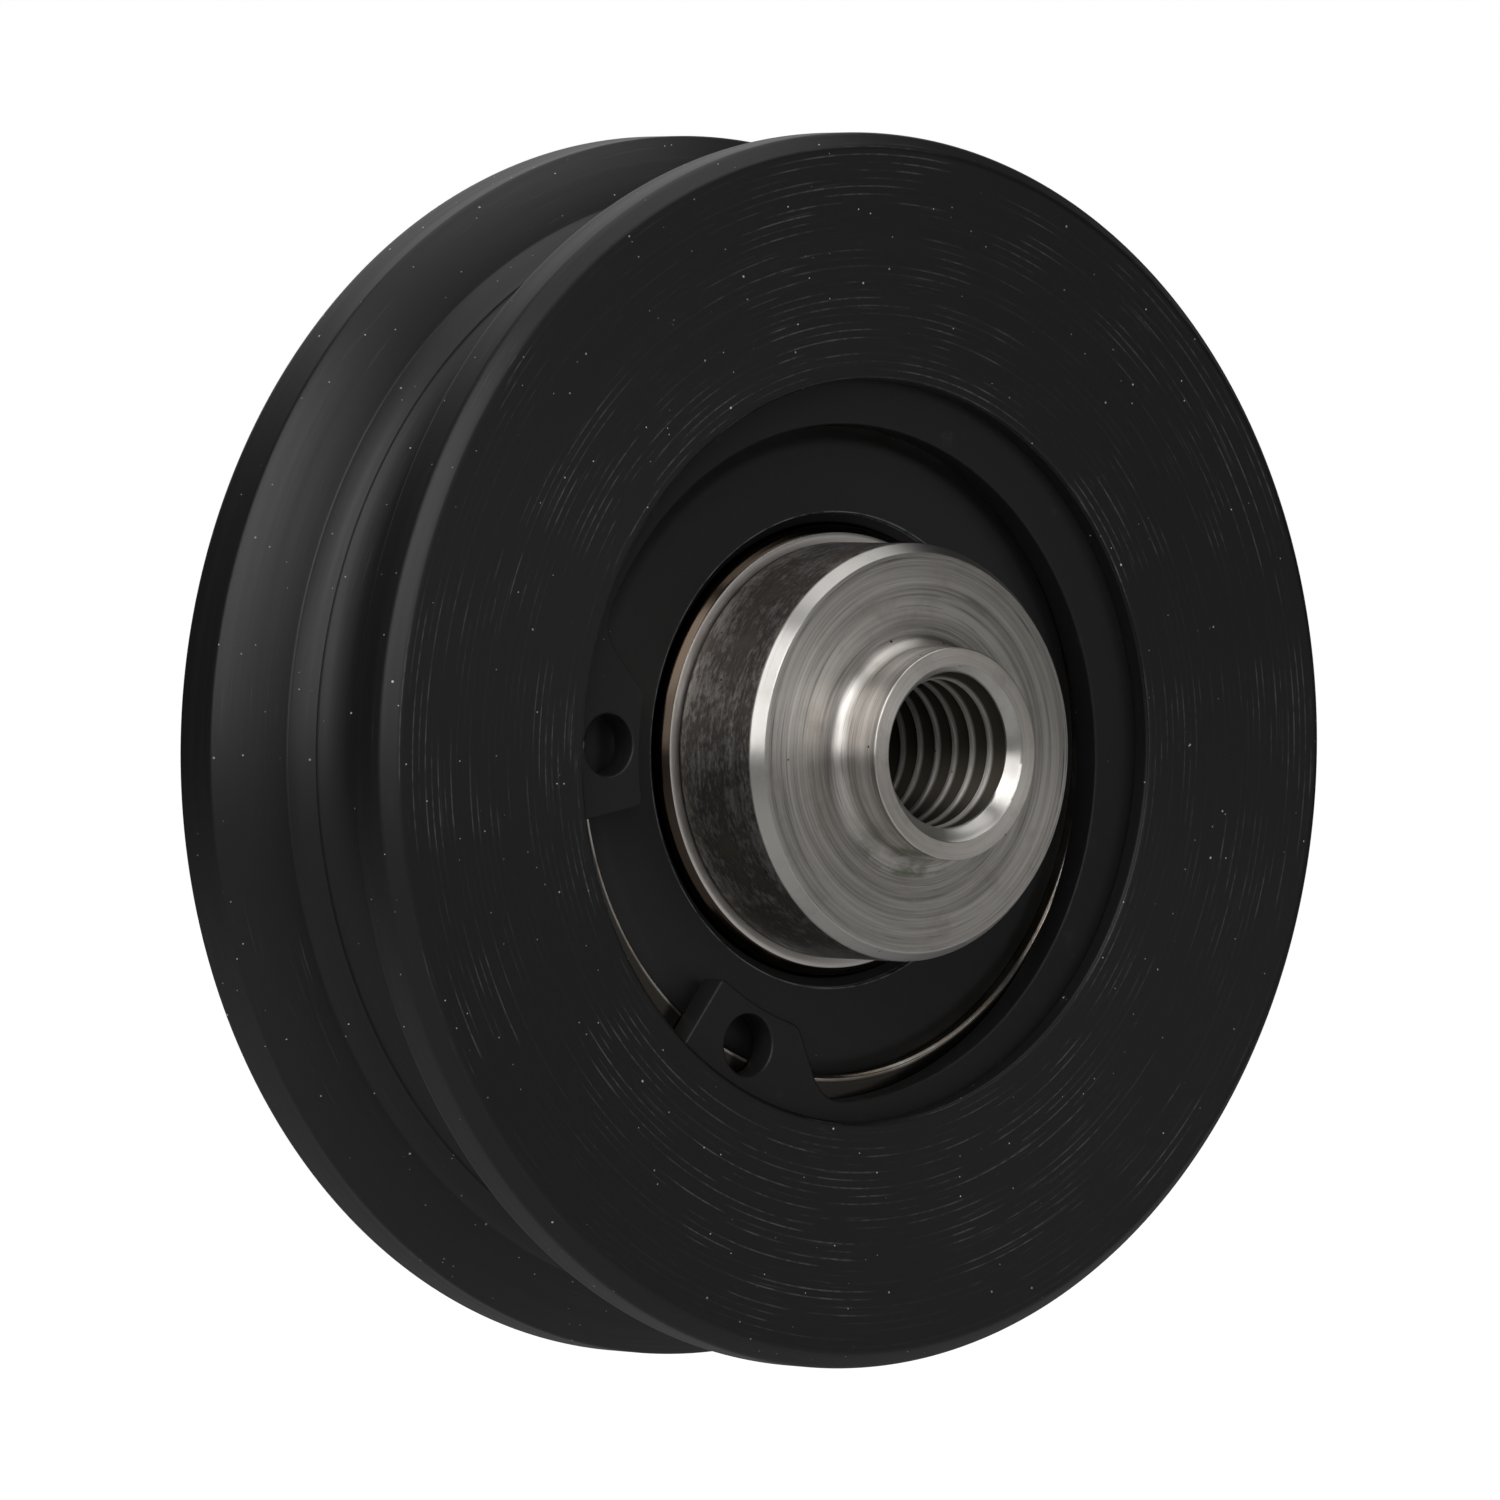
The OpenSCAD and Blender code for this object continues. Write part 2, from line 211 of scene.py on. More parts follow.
class Paint:
    """A material, or the world, under construction."""

    def __init__(self, name, world=None):
        self.material = world or bpy.data.materials.new(name)
        self.material.use_nodes = True
        self.tree = self.material.node_tree
        self.tree.nodes.clear()

    def node(self, kind, settings=None, values=None):
        """Adds a node: its settings first, then a value or a link for each socket."""
        node = self.tree.nodes.new(kind)
        for name, setting in (settings or {}).items():
            setattr(node, name, setting)
        for socket, value in (values or {}).items():
            if isinstance(value, Signal):
                self.tree.links.new(value.socket, node.inputs[socket])
            else:
                node.inputs[socket].default_value = value
        return Made(self, node)

    def mix(self, amount, low, high):
        """A colour between two colours. Mix keeps those in sockets 6 and 7, and gives output 2."""
        values = {0: amount, 6: low, 7: high}
        made = self.node("ShaderNodeMix", {"data_type": "RGBA"}, values)
        return Signal(self, made.node.outputs[2])

    def blend(self, amount, low, high):
        """A shader between two shaders."""
        return self.node("ShaderNodeMixShader", values={0: amount, 1: low, 2: high})["Shader"]

    def vector(self, x, y, z):
        return self.node("ShaderNodeCombineXYZ", values={"X": x, "Y": y, "Z": z})["Vector"]

    def noise(self, vector, w, detail=2.0, roughness=0.5):
        """Noise of about one bump per unit, from 0 to 1, over three numbers and a fourth."""
        values = {"Vector": vector, "W": w, "Scale": 1.0, "Detail": detail, "Roughness": roughness}
        return self.node("ShaderNodeTexNoise", {"noise_dimensions": "4D"}, values)["Fac"]

    def bump(self, height, depth):
        """Normals for a height from 0 to 1 that stands for depth in mm."""
        values = {"Height": height, "Distance": depth * MM, "Strength": 1.0}
        return self.node("ShaderNodeBump", values=values)["Normal"]

    def finish(self, **values):
        """Ends the material in one Principled shader. Names use _ for a space."""
        sockets = {name.replace("_", " "): value for name, value in values.items()}
        shader = self.node("ShaderNodeBsdfPrincipled", values=sockets)
        self.node("ShaderNodeOutputMaterial", values={"Surface": shader["BSDF"]})
        print(self.material.name, "has", len(self.tree.nodes), "nodes")
        return self.material


def grey(value):
    """A neutral colour."""
    return colour(value, value, value)


def colour(red, green, blue):
    """A colour from its three lights, opaque."""
    return (red, green, blue, 1.0)


print("half grey is", grey(0.5))

# %% [markdown]
# ## Marks of the lathe
# A lathe tool leaves rings that run round the axle and vary across it. So a turned finish
# needs three numbers at each point: its distance from the axle, its place along the axle, and
# its direction. Feeding the direction in as a sine and cosine leaves no seam. A small share of
# direction breaks the rings into long arcs, and a large share makes a fine grain.

# %% Coordinates round the axle
class Turned:
    """Coordinates in mm for a turned piece: r across, z along, cosine and sine of the direction."""

    APART = 3.7            # keeps two noises with different shifts apart along z too
    RING_STEP = 5.3        # how far apart in the noise two rings with numbers side by side lie

    def __init__(self, paint, axle="Z"):
        self.paint = paint
        place = paint.node("ShaderNodeTexCoord")["Object"]
        parts = paint.node("ShaderNodeSeparateXYZ", values={"Vector": place})
        if axle == "Z":
            x, y, z = parts["X"], parts["Y"], parts["Z"]
        else:
            x, y, z = parts["X"], parts["Z"], -parts["Y"]
        self.x = x * (1 / MM)
        self.y = y * (1 / MM)
        self.z = z * (1 / MM)
        self.r = (self.x * self.x + self.y * self.y).root()
        self.cosine = self.x / self.r
        self.sine = self.y / self.r

    def rings(self, per_mm, arc=0.5, detail=3.0, roughness=0.6, shift=0.0):
        """Noise that is drawn out round the axle: per_mm rings a mm, arcs shorter as arc grows."""
        where = self.paint.vector(self.r * per_mm + shift, self.cosine * arc, self.sine * arc)
        return self.paint.noise(where, self.z * per_mm + self.APART * shift, detail, roughness)

    def place(self, per_mm):
        """The place in the piece as a vector, with per_mm units a mm."""
        return self.paint.vector(self.x * per_mm, self.y * per_mm, self.z * per_mm)

    def cloud(self, per_mm, detail=2.0, roughness=0.5, shift=0.0):
        """Plain noise with no direction."""
        return self.paint.noise(self.place(per_mm), shift, detail, roughness)

    def along_rings(self, ring, arc, low, high, detail):
        """Noise along each numbered ring, cut to 0 below low and 1 above high."""
        where = self.paint.vector(ring * self.RING_STEP, self.cosine * arc, self.sine * arc)
        return self.paint.noise(where, arc, detail, 0.6).step_up(low, high)

    def feed_marks(self, pitch, width):
        """Rings of one pitch and width in mm, each broken into arcs and beads of its own."""
        count = self.r * (1 / pitch)
        line = count.off_whole().step_down(0.3 * width / pitch, width / pitch)
        ring = count.nearest_whole()
        arcs = self.along_rings(ring, arc=4.0, low=0.44, high=0.60, detail=3.0)
        beads = self.along_rings(ring, arc=50.0, low=0.35, high=0.60, detail=1.0)
        return line * arcs * (0.3 + 0.7 * beads)

    def specks(self, per_mm, radius, share):
        """1 inside small round specks: per_mm cells a mm, of which a share hold a speck."""
        values = {"Vector": self.place(per_mm), "Scale": 1.0}
        cells = self.paint.node("ShaderNodeTexVoronoi", values=values)
        chance = self.paint.node("ShaderNodeSeparateColor", values={"Color": cells["Color"]})
        reach = radius * per_mm
        near = cells["Distance"].step_down(0.6 * reach, reach)
        return near * chance["Red"].step_down(share, share + 0.001)


print("a ring pattern is a noise over four numbers: r, cosine, sine and z")

# %% [markdown]
# ## Black plastic
# The wheel is turned from black plastic bar. It has a soft sheen, fine rings from the tool, and
# paler marks where the tool's feed left a ridge at each turn of the work. Dust sticks to it as
# white specks. The rings scatter light across themselves and hardly along themselves, which
# the shader's anisotropy gives once it is turned by a quarter.

# %% Wheel plastic
FACE_SKIN = 0.05                       # how near the wheel's two faces the feed marks start, mm
FEED_PITCH, FEED_WIDTH = 0.45, 0.06    # mm
TOOL_DEPTH = 0.012                     # depth of the rings that the tool leaves, mm
ACROSS_RINGS = 0.25                    # a quarter turn of the sheen, as a share of a turn
PLASTIC_IOR = 1.5
PLASTIC_BLACK, RIDGE_GREY, DUST_WHITE = grey(0.005), grey(0.11), grey(0.7)


def wheel_plastic():
    paint = Paint("wheel_plastic")
    turned = Turned(paint)
    fine = turned.rings(7.0, arc=1.2)
    broad = turned.rings(1.1, arc=0.4, detail=2.0, shift=5.0)
    front = turned.z.step_up(wheel_front - 2 * FACE_SKIN, wheel_front - FACE_SKIN)
    back = turned.z.step_down(wheel_back + FACE_SKIN, wheel_back + 2 * FACE_SKIN)
    feed = turned.feed_marks(FEED_PITCH, FEED_WIDTH) * (front + back)
    scuff = turned.rings(9.0, arc=6.0, detail=2.0, shift=11.0).step_up(0.62, 0.74)
    worn = 0.12 + 0.88 * turned.cloud(0.1, shift=2.0).step_up(0.46, 0.58)
    marks = (feed + 0.35 * scuff) * worn
    dust = turned.specks(0.6, radius=0.08, share=0.8)
    dust = dust.most(turned.specks(1.3, radius=0.05, share=0.5))
    shade = paint.mix(marks * 0.7, PLASTIC_BLACK, RIDGE_GREY)
    shade = paint.mix(dust * (0.4 + 0.6 * worn), shade, DUST_WHITE)
    gloss = 0.28 + 0.22 * broad + 0.12 * fine + 0.3 * dust
    height = 0.5 * fine + 0.4 * broad + 0.3 * feed * worn
    return paint.finish(Base_Color=shade, Roughness=gloss, IOR=PLASTIC_IOR, Anisotropic=0.5,
                        Anisotropic_Rotation=ACROSS_RINGS, Normal=paint.bump(height, TOOL_DEPTH))


materials = {"wheel_plastic": wheel_plastic()}

# %% [markdown]
# ## Sizes of the hub
# The hub is a stepped shaft: a long tail through the bearing, a wide collar that rests on the
# bearing's inner ring, and a small boss in front. Its finish changes from one of these to the
# next, so its sizes come first, and both the finish and the shape use them.

# %% Sizes of the hub
THREAD_PITCH, THREAD_MAJOR_R, THREAD_MINOR_R = 1.5, 5.0, 4.188
BOSS_R, BOSS_LENGTH, BOSS_FILLET = 6.0, 3.25, 1.1
CHAMFER_LENGTH, CHAMFER_DROP = 0.75, 0.5
SHAFT_GROOVE_R, TAIL_CHAMFER = 9.5, 0.6
collar_front = hub_front - BOSS_LENGTH
chamfer_foot = collar_front - CHAMFER_LENGTH
fillet_r = BOSS_R + BOSS_FILLET
print(f"collar radius {collar_r:.2f} mm, its front face at {collar_front:.2f} mm")

# %% [markdown]
# ## Turned steel
# The hub was turned and left bare. Its faces carry clear rings, darker near the edge where the
# tool came off. The collar's side is stained in dark patches, oil has dried under the boss, and
# dirt sits in the thread below its crests. Painted shade darkens the collar's foot where it meets
# the bearing, and a painted highlight lightens the boss's end face. A painted image would have to
# be redrawn when a size changes. Masks from r, z and the direction find each place by what it is.

# %% Where each finish of the hub lies
def hub_places(turned):
    """Masks that are 1 on one place of the hub and 0 elsewhere."""
    r, z = turned.r, turned.z
    side = r.step_up(collar_r - 0.3, collar_r - 0.2) * z.step_down(chamfer_foot - 0.1, chamfer_foot)
    under_boss = turned.sine.step_down(-0.95, -0.6)
    fillet = r.step_up(BOSS_R - 0.1, BOSS_R) * r.step_down(fillet_r - 0.2, fillet_r + 0.1)
    bore = r.step_down(THREAD_MAJOR_R - 0.1, THREAD_MAJOR_R)
    mouth = r.step_down(THREAD_MAJOR_R, THREAD_MAJOR_R + 0.05)
    mouth_foot = hub_front - (THREAD_MAJOR_R - THREAD_MINOR_R)
    slope = CHAMFER_LENGTH / CHAMFER_DROP
    on_chamfer = slope * collar_r + chamfer_foot
    chamfer = (slope * r + z).step_up(on_chamfer - 0.06, on_chamfer - 0.02)
    return {
        "side": side,
        "edge": r.step_up(collar_r - 1.6, collar_r - 1.2) * (1 - side),
        "oil": under_boss * fillet,
        "thread": bore * z.step_down(mouth_foot - 0.09, mouth_foot + 0.01),
        "below_crests": r.step_up(4.2, 4.4),
        "cut": chamfer.most(mouth * z.step_up(mouth_foot - 0.04, mouth_foot + 0.01)),
        # painted shade where the collar's foot meets the bearing
        "foot": side * z.step_down(bearing_front + 0.14, bearing_front + 0.32),
        # the boss's end face, which gets a painted highlight
        "end": z.step_up(hub_front - 0.06, hub_front - 0.03),
    }


print(f"the collar's side runs from {bearing_front:.2f} to {chamfer_foot:.2f} mm")

# %% Hub steel
STEEL_DARK, STEEL_LIGHT = colour(0.40, 0.375, 0.35), colour(0.70, 0.665, 0.625)
# Of the next two colours, the second is a painted highlight for the boss's end face.
STEEL_BRIGHT, PAINTED_END_LIGHT = colour(0.82, 0.79, 0.75), colour(0.95, 0.89, 0.82)
STEEL_CUT, TOOL_LINE = colour(0.62, 0.60, 0.57), grey(0.14)
STAIN_BROWN, SIDE_STAIN = colour(0.30, 0.26, 0.21), colour(0.13, 0.115, 0.107)
OIL_GREEN, THREAD_DIRT = colour(0.16, 0.19, 0.12), colour(0.07, 0.062, 0.05)
# Of the next two colours, the first is painted shade for the collar's foot, where it meets the
# bearing.
PAINTED_GAP_SHADE, PIT_DARK = grey(0.02), grey(0.03)


def hub_steel():
    paint = Paint("hub_steel")
    turned = Turned(paint)
    at = hub_places(turned)
    fine = turned.rings(9.0, arc=1.5, detail=3.0, roughness=0.65)
    broad = turned.rings(1.6, arc=0.25, detail=3.0, shift=4.0)
    lines = turned.rings(4.5, arc=0.8, detail=4.0, roughness=0.7, shift=9.0)
    grain = turned.rings(5.0, arc=22.0, detail=3.0, roughness=0.7, shift=8.0)
    stain = turned.cloud(0.45, detail=4.0, roughness=0.65, shift=1.0)
    patches = (0.5 * grain + 0.5 * stain).step_up(0.40, 0.56)
    shade = paint.mix(broad.step_up(0.35, 0.65), STEEL_DARK, STEEL_LIGHT)
    layers = [
        (fine.step_up(0.4, 0.7) * 0.5, STEEL_BRIGHT),
        (lines.step_up(0.54, 0.62) * (0.45 + 0.45 * at["edge"]), TOOL_LINE),
        (at["side"] * (0.45 + 0.55 * patches), SIDE_STAIN),
        # Painted shade: the collar's foot next to the bearing is darkened.
        (at["foot"], PAINTED_GAP_SHADE),
        # Painted highlight: the boss's end face is lightened.
        (at["end"] * 0.6, PAINTED_END_LIGHT),
        (at["cut"], STEEL_CUT),
        (stain.step_up(0.5, 0.75) * 0.3, STAIN_BROWN),
        (at["oil"] * stain.step_up(0.4, 0.6) * 0.7, OIL_GREEN),
        (turned.specks(0.8, radius=0.1, share=0.35), PIT_DARK),
        (at["thread"] * at["below_crests"], THREAD_DIRT),
    ]
    for amount, layer in layers:
        shade = paint.mix(amount, shade, layer)
    gloss = 0.28 + 0.12 * broad + 0.1 * stain + 0.04 * at["side"] + 0.2 * at["thread"]
    gloss = gloss * (1 - 0.1 * at["cut"])
    height = 0.5 * fine + 0.3 * broad + 0.5 * lines
    return paint.finish(Base_Color=shade, Metallic=1.0, Roughness=gloss, Anisotropic=0.8,
                        Anisotropic_Rotation=ACROSS_RINGS, Normal=paint.bump(height, TOOL_DEPTH))


materials["hub_steel"] = hub_steel()

# %% [markdown]
# ## Sizes of the bearing
# A ball bearing follows from its balls: the races are a little wider than a ball, and the
# shoulders beside them reach part of the way towards the balls' middle. The seals reach from a
# step in the outer ring to a land on the inner ring. The finishes need some of these radii too.

# %% Sizes of the bearing
BALL_R, PITCH_R, SHAFT_R = 3.175, 15.5, 10.0
BALL_PLAY, RACE_FIT, RACE_DEPTH = 0.03, 1.04, 1.3
RING_CHAMFER = 0.5
SEAL_RECESS, SEAL_T, SEAL_SEAT_STEP, SEAL_BEAD = 0.35, 0.9, 1.05, 0.4
LAND_DROP, LIP_GAP, LIP_LENGTH = 0.8, 0.15, 0.55
SEAL_SLOPE_WIDTH, SEAL_SLOPE_DROP = 1.0, 0.4
half_w = (bearing_front - bearing_back) / 2
race_r = BALL_R * RACE_FIT
race_offset = race_r - BALL_R - BALL_PLAY
inner_shoulder_r = PITCH_R - BALL_R - BALL_PLAY + RACE_DEPTH
outer_shoulder_r = PITCH_R + BALL_R + BALL_PLAY - RACE_DEPTH
inner_land_r = inner_shoulder_r - LAND_DROP
seal_seat_r = outer_shoulder_r + SEAL_SEAT_STEP
seal_outer = half_w - SEAL_RECESS
seal_inner = seal_outer - SEAL_T
seal_bead = seal_inner + SEAL_T / 3
lip_tip_r = inner_land_r + LIP_GAP
lip_root_r = lip_tip_r + LIP_LENGTH
print(f"inner ring's land at {inner_land_r:.2f} mm, the seal's lip at {lip_tip_r:.2f} mm")

# %% [markdown]
# ## Bearing steel
# The rings are ground, so they shine more than the hub and show hardly a mark. Their flat end
# faces are matt. The inner ring's chamfer and the outer ring's face lie in the shade of the parts
# beside them, and that shade is painted into their colours. The film of oil on them is a soft
# cloud, not a ring.

# %% Bearing steel
GROUND_STEEL, OILY_STEEL = colour(0.50, 0.475, 0.44), colour(0.30, 0.25, 0.20)
# The second colour on the next line is painted shade for the inner ring's chamfer.
END_STEEL, PAINTED_CHAMFER_SHADE = colour(0.80, 0.76, 0.72), colour(0.06, 0.045, 0.034)
# Painted shade for the outer ring's face, behind the retaining ring: nearly black.
PAINTED_OUTER_SHADE = colour(0.07, 0.062, 0.055)
GRIND_DEPTH = 0.002    # mm


def bearing_steel():
    paint = Paint("ring_steel")
    turned = Turned(paint)
    fine = turned.rings(14.0, arc=1.0, detail=2.0)
    film = turned.cloud(0.5, detail=3.0, shift=6.0)
    chamfer_r = inner_land_r - RING_CHAMFER
    inner_flat = turned.r.step_down(chamfer_r + 0.035, chamfer_r + 0.085)
    # Painted shade on the inner ring's chamfer, beside the hub's collar.
    shaded_chamfer = turned.r.step_down(inner_land_r + 0.205, inner_land_r + 0.255) - inner_flat
    # Painted shade on the outer ring's face, which lies behind the retaining ring.
    shaded_outer_face = turned.r.step_up(seal_seat_r + 0.265, seal_seat_r + 0.385)
    shade = paint.mix(film.step_up(0.35, 0.7), GROUND_STEEL, OILY_STEEL)
    shade = paint.mix(inner_flat, shade, END_STEEL)
    shade = paint.mix(shaded_chamfer, shade, PAINTED_CHAMFER_SHADE)
    shade = paint.mix(shaded_outer_face, shade, PAINTED_OUTER_SHADE)
    gloss = 0.12 + 0.14 * film + 0.25 * inner_flat
    return paint.finish(Base_Color=shade, Metallic=1.0, Roughness=gloss,
                        Normal=paint.bump(fine, GRIND_DEPTH))


materials["ring_steel"] = bearing_steel()

# %% [markdown]
# ## Seal rubber
# The seals are moulded black rubber on a steel washer. Rubber is matt and a little uneven. Where
# the lip begins, its edge catches the light here and there as a thin grey line. That edge is too
# thin to model as a piece of its own, so a narrow ring of painted highlight follows it.

# %% Seal rubber
# The last colour on the next line is a painted highlight for the edge where the lip begins.
RUBBER_BLACK, RUBBER_DUST, PAINTED_LIP_GLINT = grey(0.010), grey(0.3), colour(0.16, 0.17, 0.18)
RUBBER_DEPTH, RUBBER_IOR = 0.008, 1.5


def seal_rubber():
    paint = Paint("seal_rubber")
    turned = Turned(paint)
    moulded = turned.cloud(3.0, detail=3.0)
    rings = turned.rings(2.0, arc=0.3, detail=2.0)
    dust = turned.specks(0.9, radius=0.04, share=0.2)
    # A painted highlight: a thin grey line on the edge where the lip begins, broken into arcs.
    wear_and_glint = turned.r.step_up(lip_root_r - 0.075, lip_root_r - 0.025)
    wear_and_glint = wear_and_glint * turned.r.step_down(lip_root_r + 0.035, lip_root_r + 0.105)
    wear_and_glint = wear_and_glint * turned.rings(1.0, arc=14.0, shift=2.0).step_up(0.3, 0.6)
    shade = paint.mix(dust, RUBBER_BLACK, RUBBER_DUST)
    shade = paint.mix(wear_and_glint, shade, PAINTED_LIP_GLINT)
    height = 0.5 * moulded + 0.5 * rings
    return paint.finish(Base_Color=shade, Roughness=0.42 + 0.2 * moulded, IOR=RUBBER_IOR,
                        Normal=paint.bump(height, RUBBER_DEPTH))


materials["seal_rubber"] = seal_rubber()

# %% [markdown]
# ## Black spring steel
# Both retaining rings are punched from spring steel and coated with black phosphate. The coat
# is thin and grainy, so it is part metal and part matt in its sheen, and it wears to a lighter
# grey in soft patches.

# %% Black spring steel
COAT_BLACK, COAT_WORN, COAT_DUST = grey(0.014), grey(0.03), grey(0.35)
COAT_DEPTH = 0.006     # mm


def spring_steel():
    paint = Paint("spring_steel")
    turned = Turned(paint)
    coat = turned.cloud(6.0, detail=4.0, roughness=0.7)
    # Here the mask is wear alone: soft lighter patches of the coat.
    wear_and_glint = turned.cloud(0.7, detail=3.0, shift=3.0).step_up(0.6, 0.8)
    dust = turned.specks(0.9, radius=0.04, share=0.2)
    shade = paint.mix(wear_and_glint, COAT_BLACK, COAT_WORN)
    shade = paint.mix(dust, shade, COAT_DUST)
    return paint.finish(Base_Color=shade, Metallic=0.3, Roughness=0.38 + 0.2 * coat,
                        Normal=paint.bump(coat, COAT_DEPTH))


materials["spring_steel"] = spring_steel()

# %% [markdown]
# ## Balls and cage
# Behind the seals are polished balls in a cage of pressed sheet. They hardly show, yet a reader
# who opens the model sees them. These pieces lie along -Y, not along their own Z, so their
# coordinates are read the other way round.

# %% Balls and cage
BALL_STEEL, BALL_OIL = grey(0.72), colour(0.62, 0.60, 0.56)
CAGE_STEEL, CAGE_OIL = grey(0.5), colour(0.36, 0.33, 0.28)
CAGE_DEPTH = 0.004     # mm


def ball_steel():
    paint = Paint("ball_steel")
    film = Turned(paint, "Y").cloud(1.2, detail=3.0)
    shade = paint.mix(film, BALL_STEEL, BALL_OIL)
    return paint.finish(Base_Color=shade, Metallic=1.0, Roughness=0.06 + 0.08 * film)


def cage_steel():
    paint = Paint("cage_steel")
    turned = Turned(paint, "Y")
    rolled = turned.cloud(4.0, detail=4.0)
    oil = turned.cloud(0.5, detail=3.0, shift=4.0)
    shade = paint.mix(oil, CAGE_STEEL, CAGE_OIL)
    return paint.finish(Base_Color=shade, Metallic=1.0, Roughness=0.28 + 0.2 * rolled,
                        Normal=paint.bump(rolled, CAGE_DEPTH))


materials["ball_steel"] = ball_steel()
materials["cage_steel"] = cage_steel()

# %% [markdown]
# ## Turning in code
# A turned piece is an outline swept round the axle. A real edge is never knife sharp: it is
# eased a little, and that is where it catches the light. So each corner of an outline may carry
# an ease, and a short arc replaces it. Two extra points beside each arc keep the smooth
# shading from bleeding into the flat next to it.

# %% Outlines with eased corners
EASE_STEPS = 4
EASE_LIMIT = 0.42      # the most of a straight stretch that an ease may take
HOLD = 0.35            # how far beside an arc its holding point lies, as a share of its reach


def eased(corners):
    """A closed outline from corners of (r, z) or (r, z, ease), all in mm."""
    count = len(corners)
    outline = []
    for number, corner in enumerate(corners):
        here = Vector(corner[:2])
        if len(corner) < 3:
            outline.append(here)
            continue
        before = Vector(corners[number - 1][:2]) - here
        after = Vector(corners[(number + 1) % count][:2]) - here
        reach = min(corner[2], EASE_LIMIT * before.length, EASE_LIMIT * after.length)
        start, end = before.normalized() * reach, after.normalized() * reach
        outline.append(here + start * (1 + HOLD))
        for step in range(EASE_STEPS + 1):
            t = step / EASE_STEPS
            outline.append(here + start * (1 - t) ** 2 + end * t ** 2)
        outline.append(here + end * (1 + HOLD))
    return outline


def arc(centre_r, centre_z, radius, start, end, steps):
    """Points of an arc in an outline, its angles in degrees from the r direction."""
    angles = [math.radians(start + (end - start) * step / steps) for step in range(steps + 1)]
    return [(centre_r + radius * math.cos(a), centre_z + radius * math.sin(a)) for a in angles]


print("an eased corner becomes", EASE_STEPS + 3, "points")

# %% [markdown]
# ## From outline to piece
# A Screw modifier could spin the outline. Building the faces ourselves keeps control of the
# seam and of the ends, which the hub needs where its thread comes out. Each piece is built with
# the axle along Z, laid down along -Y, and then hung on the body it rides on, while the CAD node
# that it stands for is hidden.

# %% Sweep an outline round the axle
def new_piece(name, mesh_builder, material, body, slot, *stands_for):
    """Makes an object from a bmesh, lays it on the axle, hangs it on its body and hides its CAD
    nodes.
    """
    mesh = bpy.data.meshes.new(name)
    bmesh.ops.recalc_face_normals(mesh_builder, faces=mesh_builder.faces[:])
    mesh_builder.to_mesh(mesh)
    mesh_builder.free()
    mesh.transform(Matrix.Scale(MM, 4))
    mesh.materials.append(material)
    piece = bpy.data.objects.new(name, mesh)
    bpy.context.scene.collection.objects.link(piece)
    piece.rotation_euler = (math.radians(90), 0, 0)
    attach(piece, body)
    if stands_for:
        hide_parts(*stands_for)
    mesh.calc_loop_triangles()
    print(f"{name}: {len(mesh.vertices)} points, {len(mesh.loop_triangles)} triangles")
    return piece


def sweep(builder, outline, segments, closed=True):
    """Adds the surface of an outline swept round the axle, and returns its rings of points."""
    turn = [2 * math.pi * s / segments for s in range(segments)]
    rings = []
    for r, z in outline:
        rings.append([builder.verts.new((r * math.cos(a), r * math.sin(a), z)) for a in turn])
    for low, high in zip(rings, rings[1:] + rings[:1] if closed else rings[1:]):
        for s in range(segments):
            t = (s + 1) % segments
            builder.faces.new((low[s], low[t], high[t], high[s])).smooth = True
    return rings


def turn_piece(name, outline, segments, material, body, slot, *stands_for):
    """Makes a piece from a closed outline alone."""
    builder = bmesh.new()
    sweep(builder, outline, segments)
    return new_piece(name, builder, material, body, slot, *stands_for)


print("a piece in mm is laid down and scaled by", MM)

# %% [markdown]
# ## The wheel
# One turned piece. Its outline runs from the rear bore round the rim, down one wall of the V,
# round the root, up the other wall and over the front face into the seat, where a groove
# holds the retaining ring. The tool that cut the root left a small step where it met the rear
# wall, and a scored line above it. A bump map could draw both, but they break the reflection at
# a slant, so they are in the outline. All edges are eased by a tenth of a millimetre or two.

# %% The wall of the groove
GROOVE_WIDTH, GROOVE_SHIFT, ROOT_R = 12.9, 0.3, 3.2
ROOT_START, ROOT_END, ROOT_STEPS = 220, 135, 20            # degrees from the r direction
SCORE_R, SCORE_HALF_WIDTH, SCORE_DEPTH = 31.95, 0.05, 0.05
STEP_TOP_R = 31.13
STEP_CORNERS = [(30.85, -1.925, 0.02), (30.70, -1.88), (30.642, -1.78)]
groove_apex_r = wheel_r - GROOVE_WIDTH / 2
root_centre_r = groove_apex_r + ROOT_R * math.sqrt(2)
groove_rear = GROOVE_SHIFT - GROOVE_WIDTH / 2
groove_front = GROOVE_SHIFT + GROOVE_WIDTH / 2


def rear_wall(r, depth=0.0):
    """A point of the V's rear wall at a radius, or that deep below it."""
    z = GROOVE_SHIFT - (r - groove_apex_r)
    return r - depth * math.sqrt(0.5), z - depth * math.sqrt(0.5)


groove = [rear_wall(SCORE_R + SCORE_HALF_WIDTH), rear_wall(SCORE_R, SCORE_DEPTH)]
groove += [rear_wall(SCORE_R - SCORE_HALF_WIDTH), rear_wall(STEP_TOP_R)] + STEP_CORNERS
groove += arc(root_centre_r, GROOVE_SHIFT, ROOT_R, ROOT_START, ROOT_END, ROOT_STEPS)
print(f"groove from {groove_rear:.2f} to {groove_front:.2f} mm along the axle")

# %% Wheel body
SHOULDER_BORE_R = 18.0
MOUTH = 0.2
RING_GROOVE_R = 22.25
RING_PLAY = 0.05
WHEEL_SEGMENTS = 360
RIM_EASE, LIP_EASE, SEAT_EASE, BORE_EASE, SLOT_EASE = 0.2, 0.15, 0.12, 0.1, 0.08

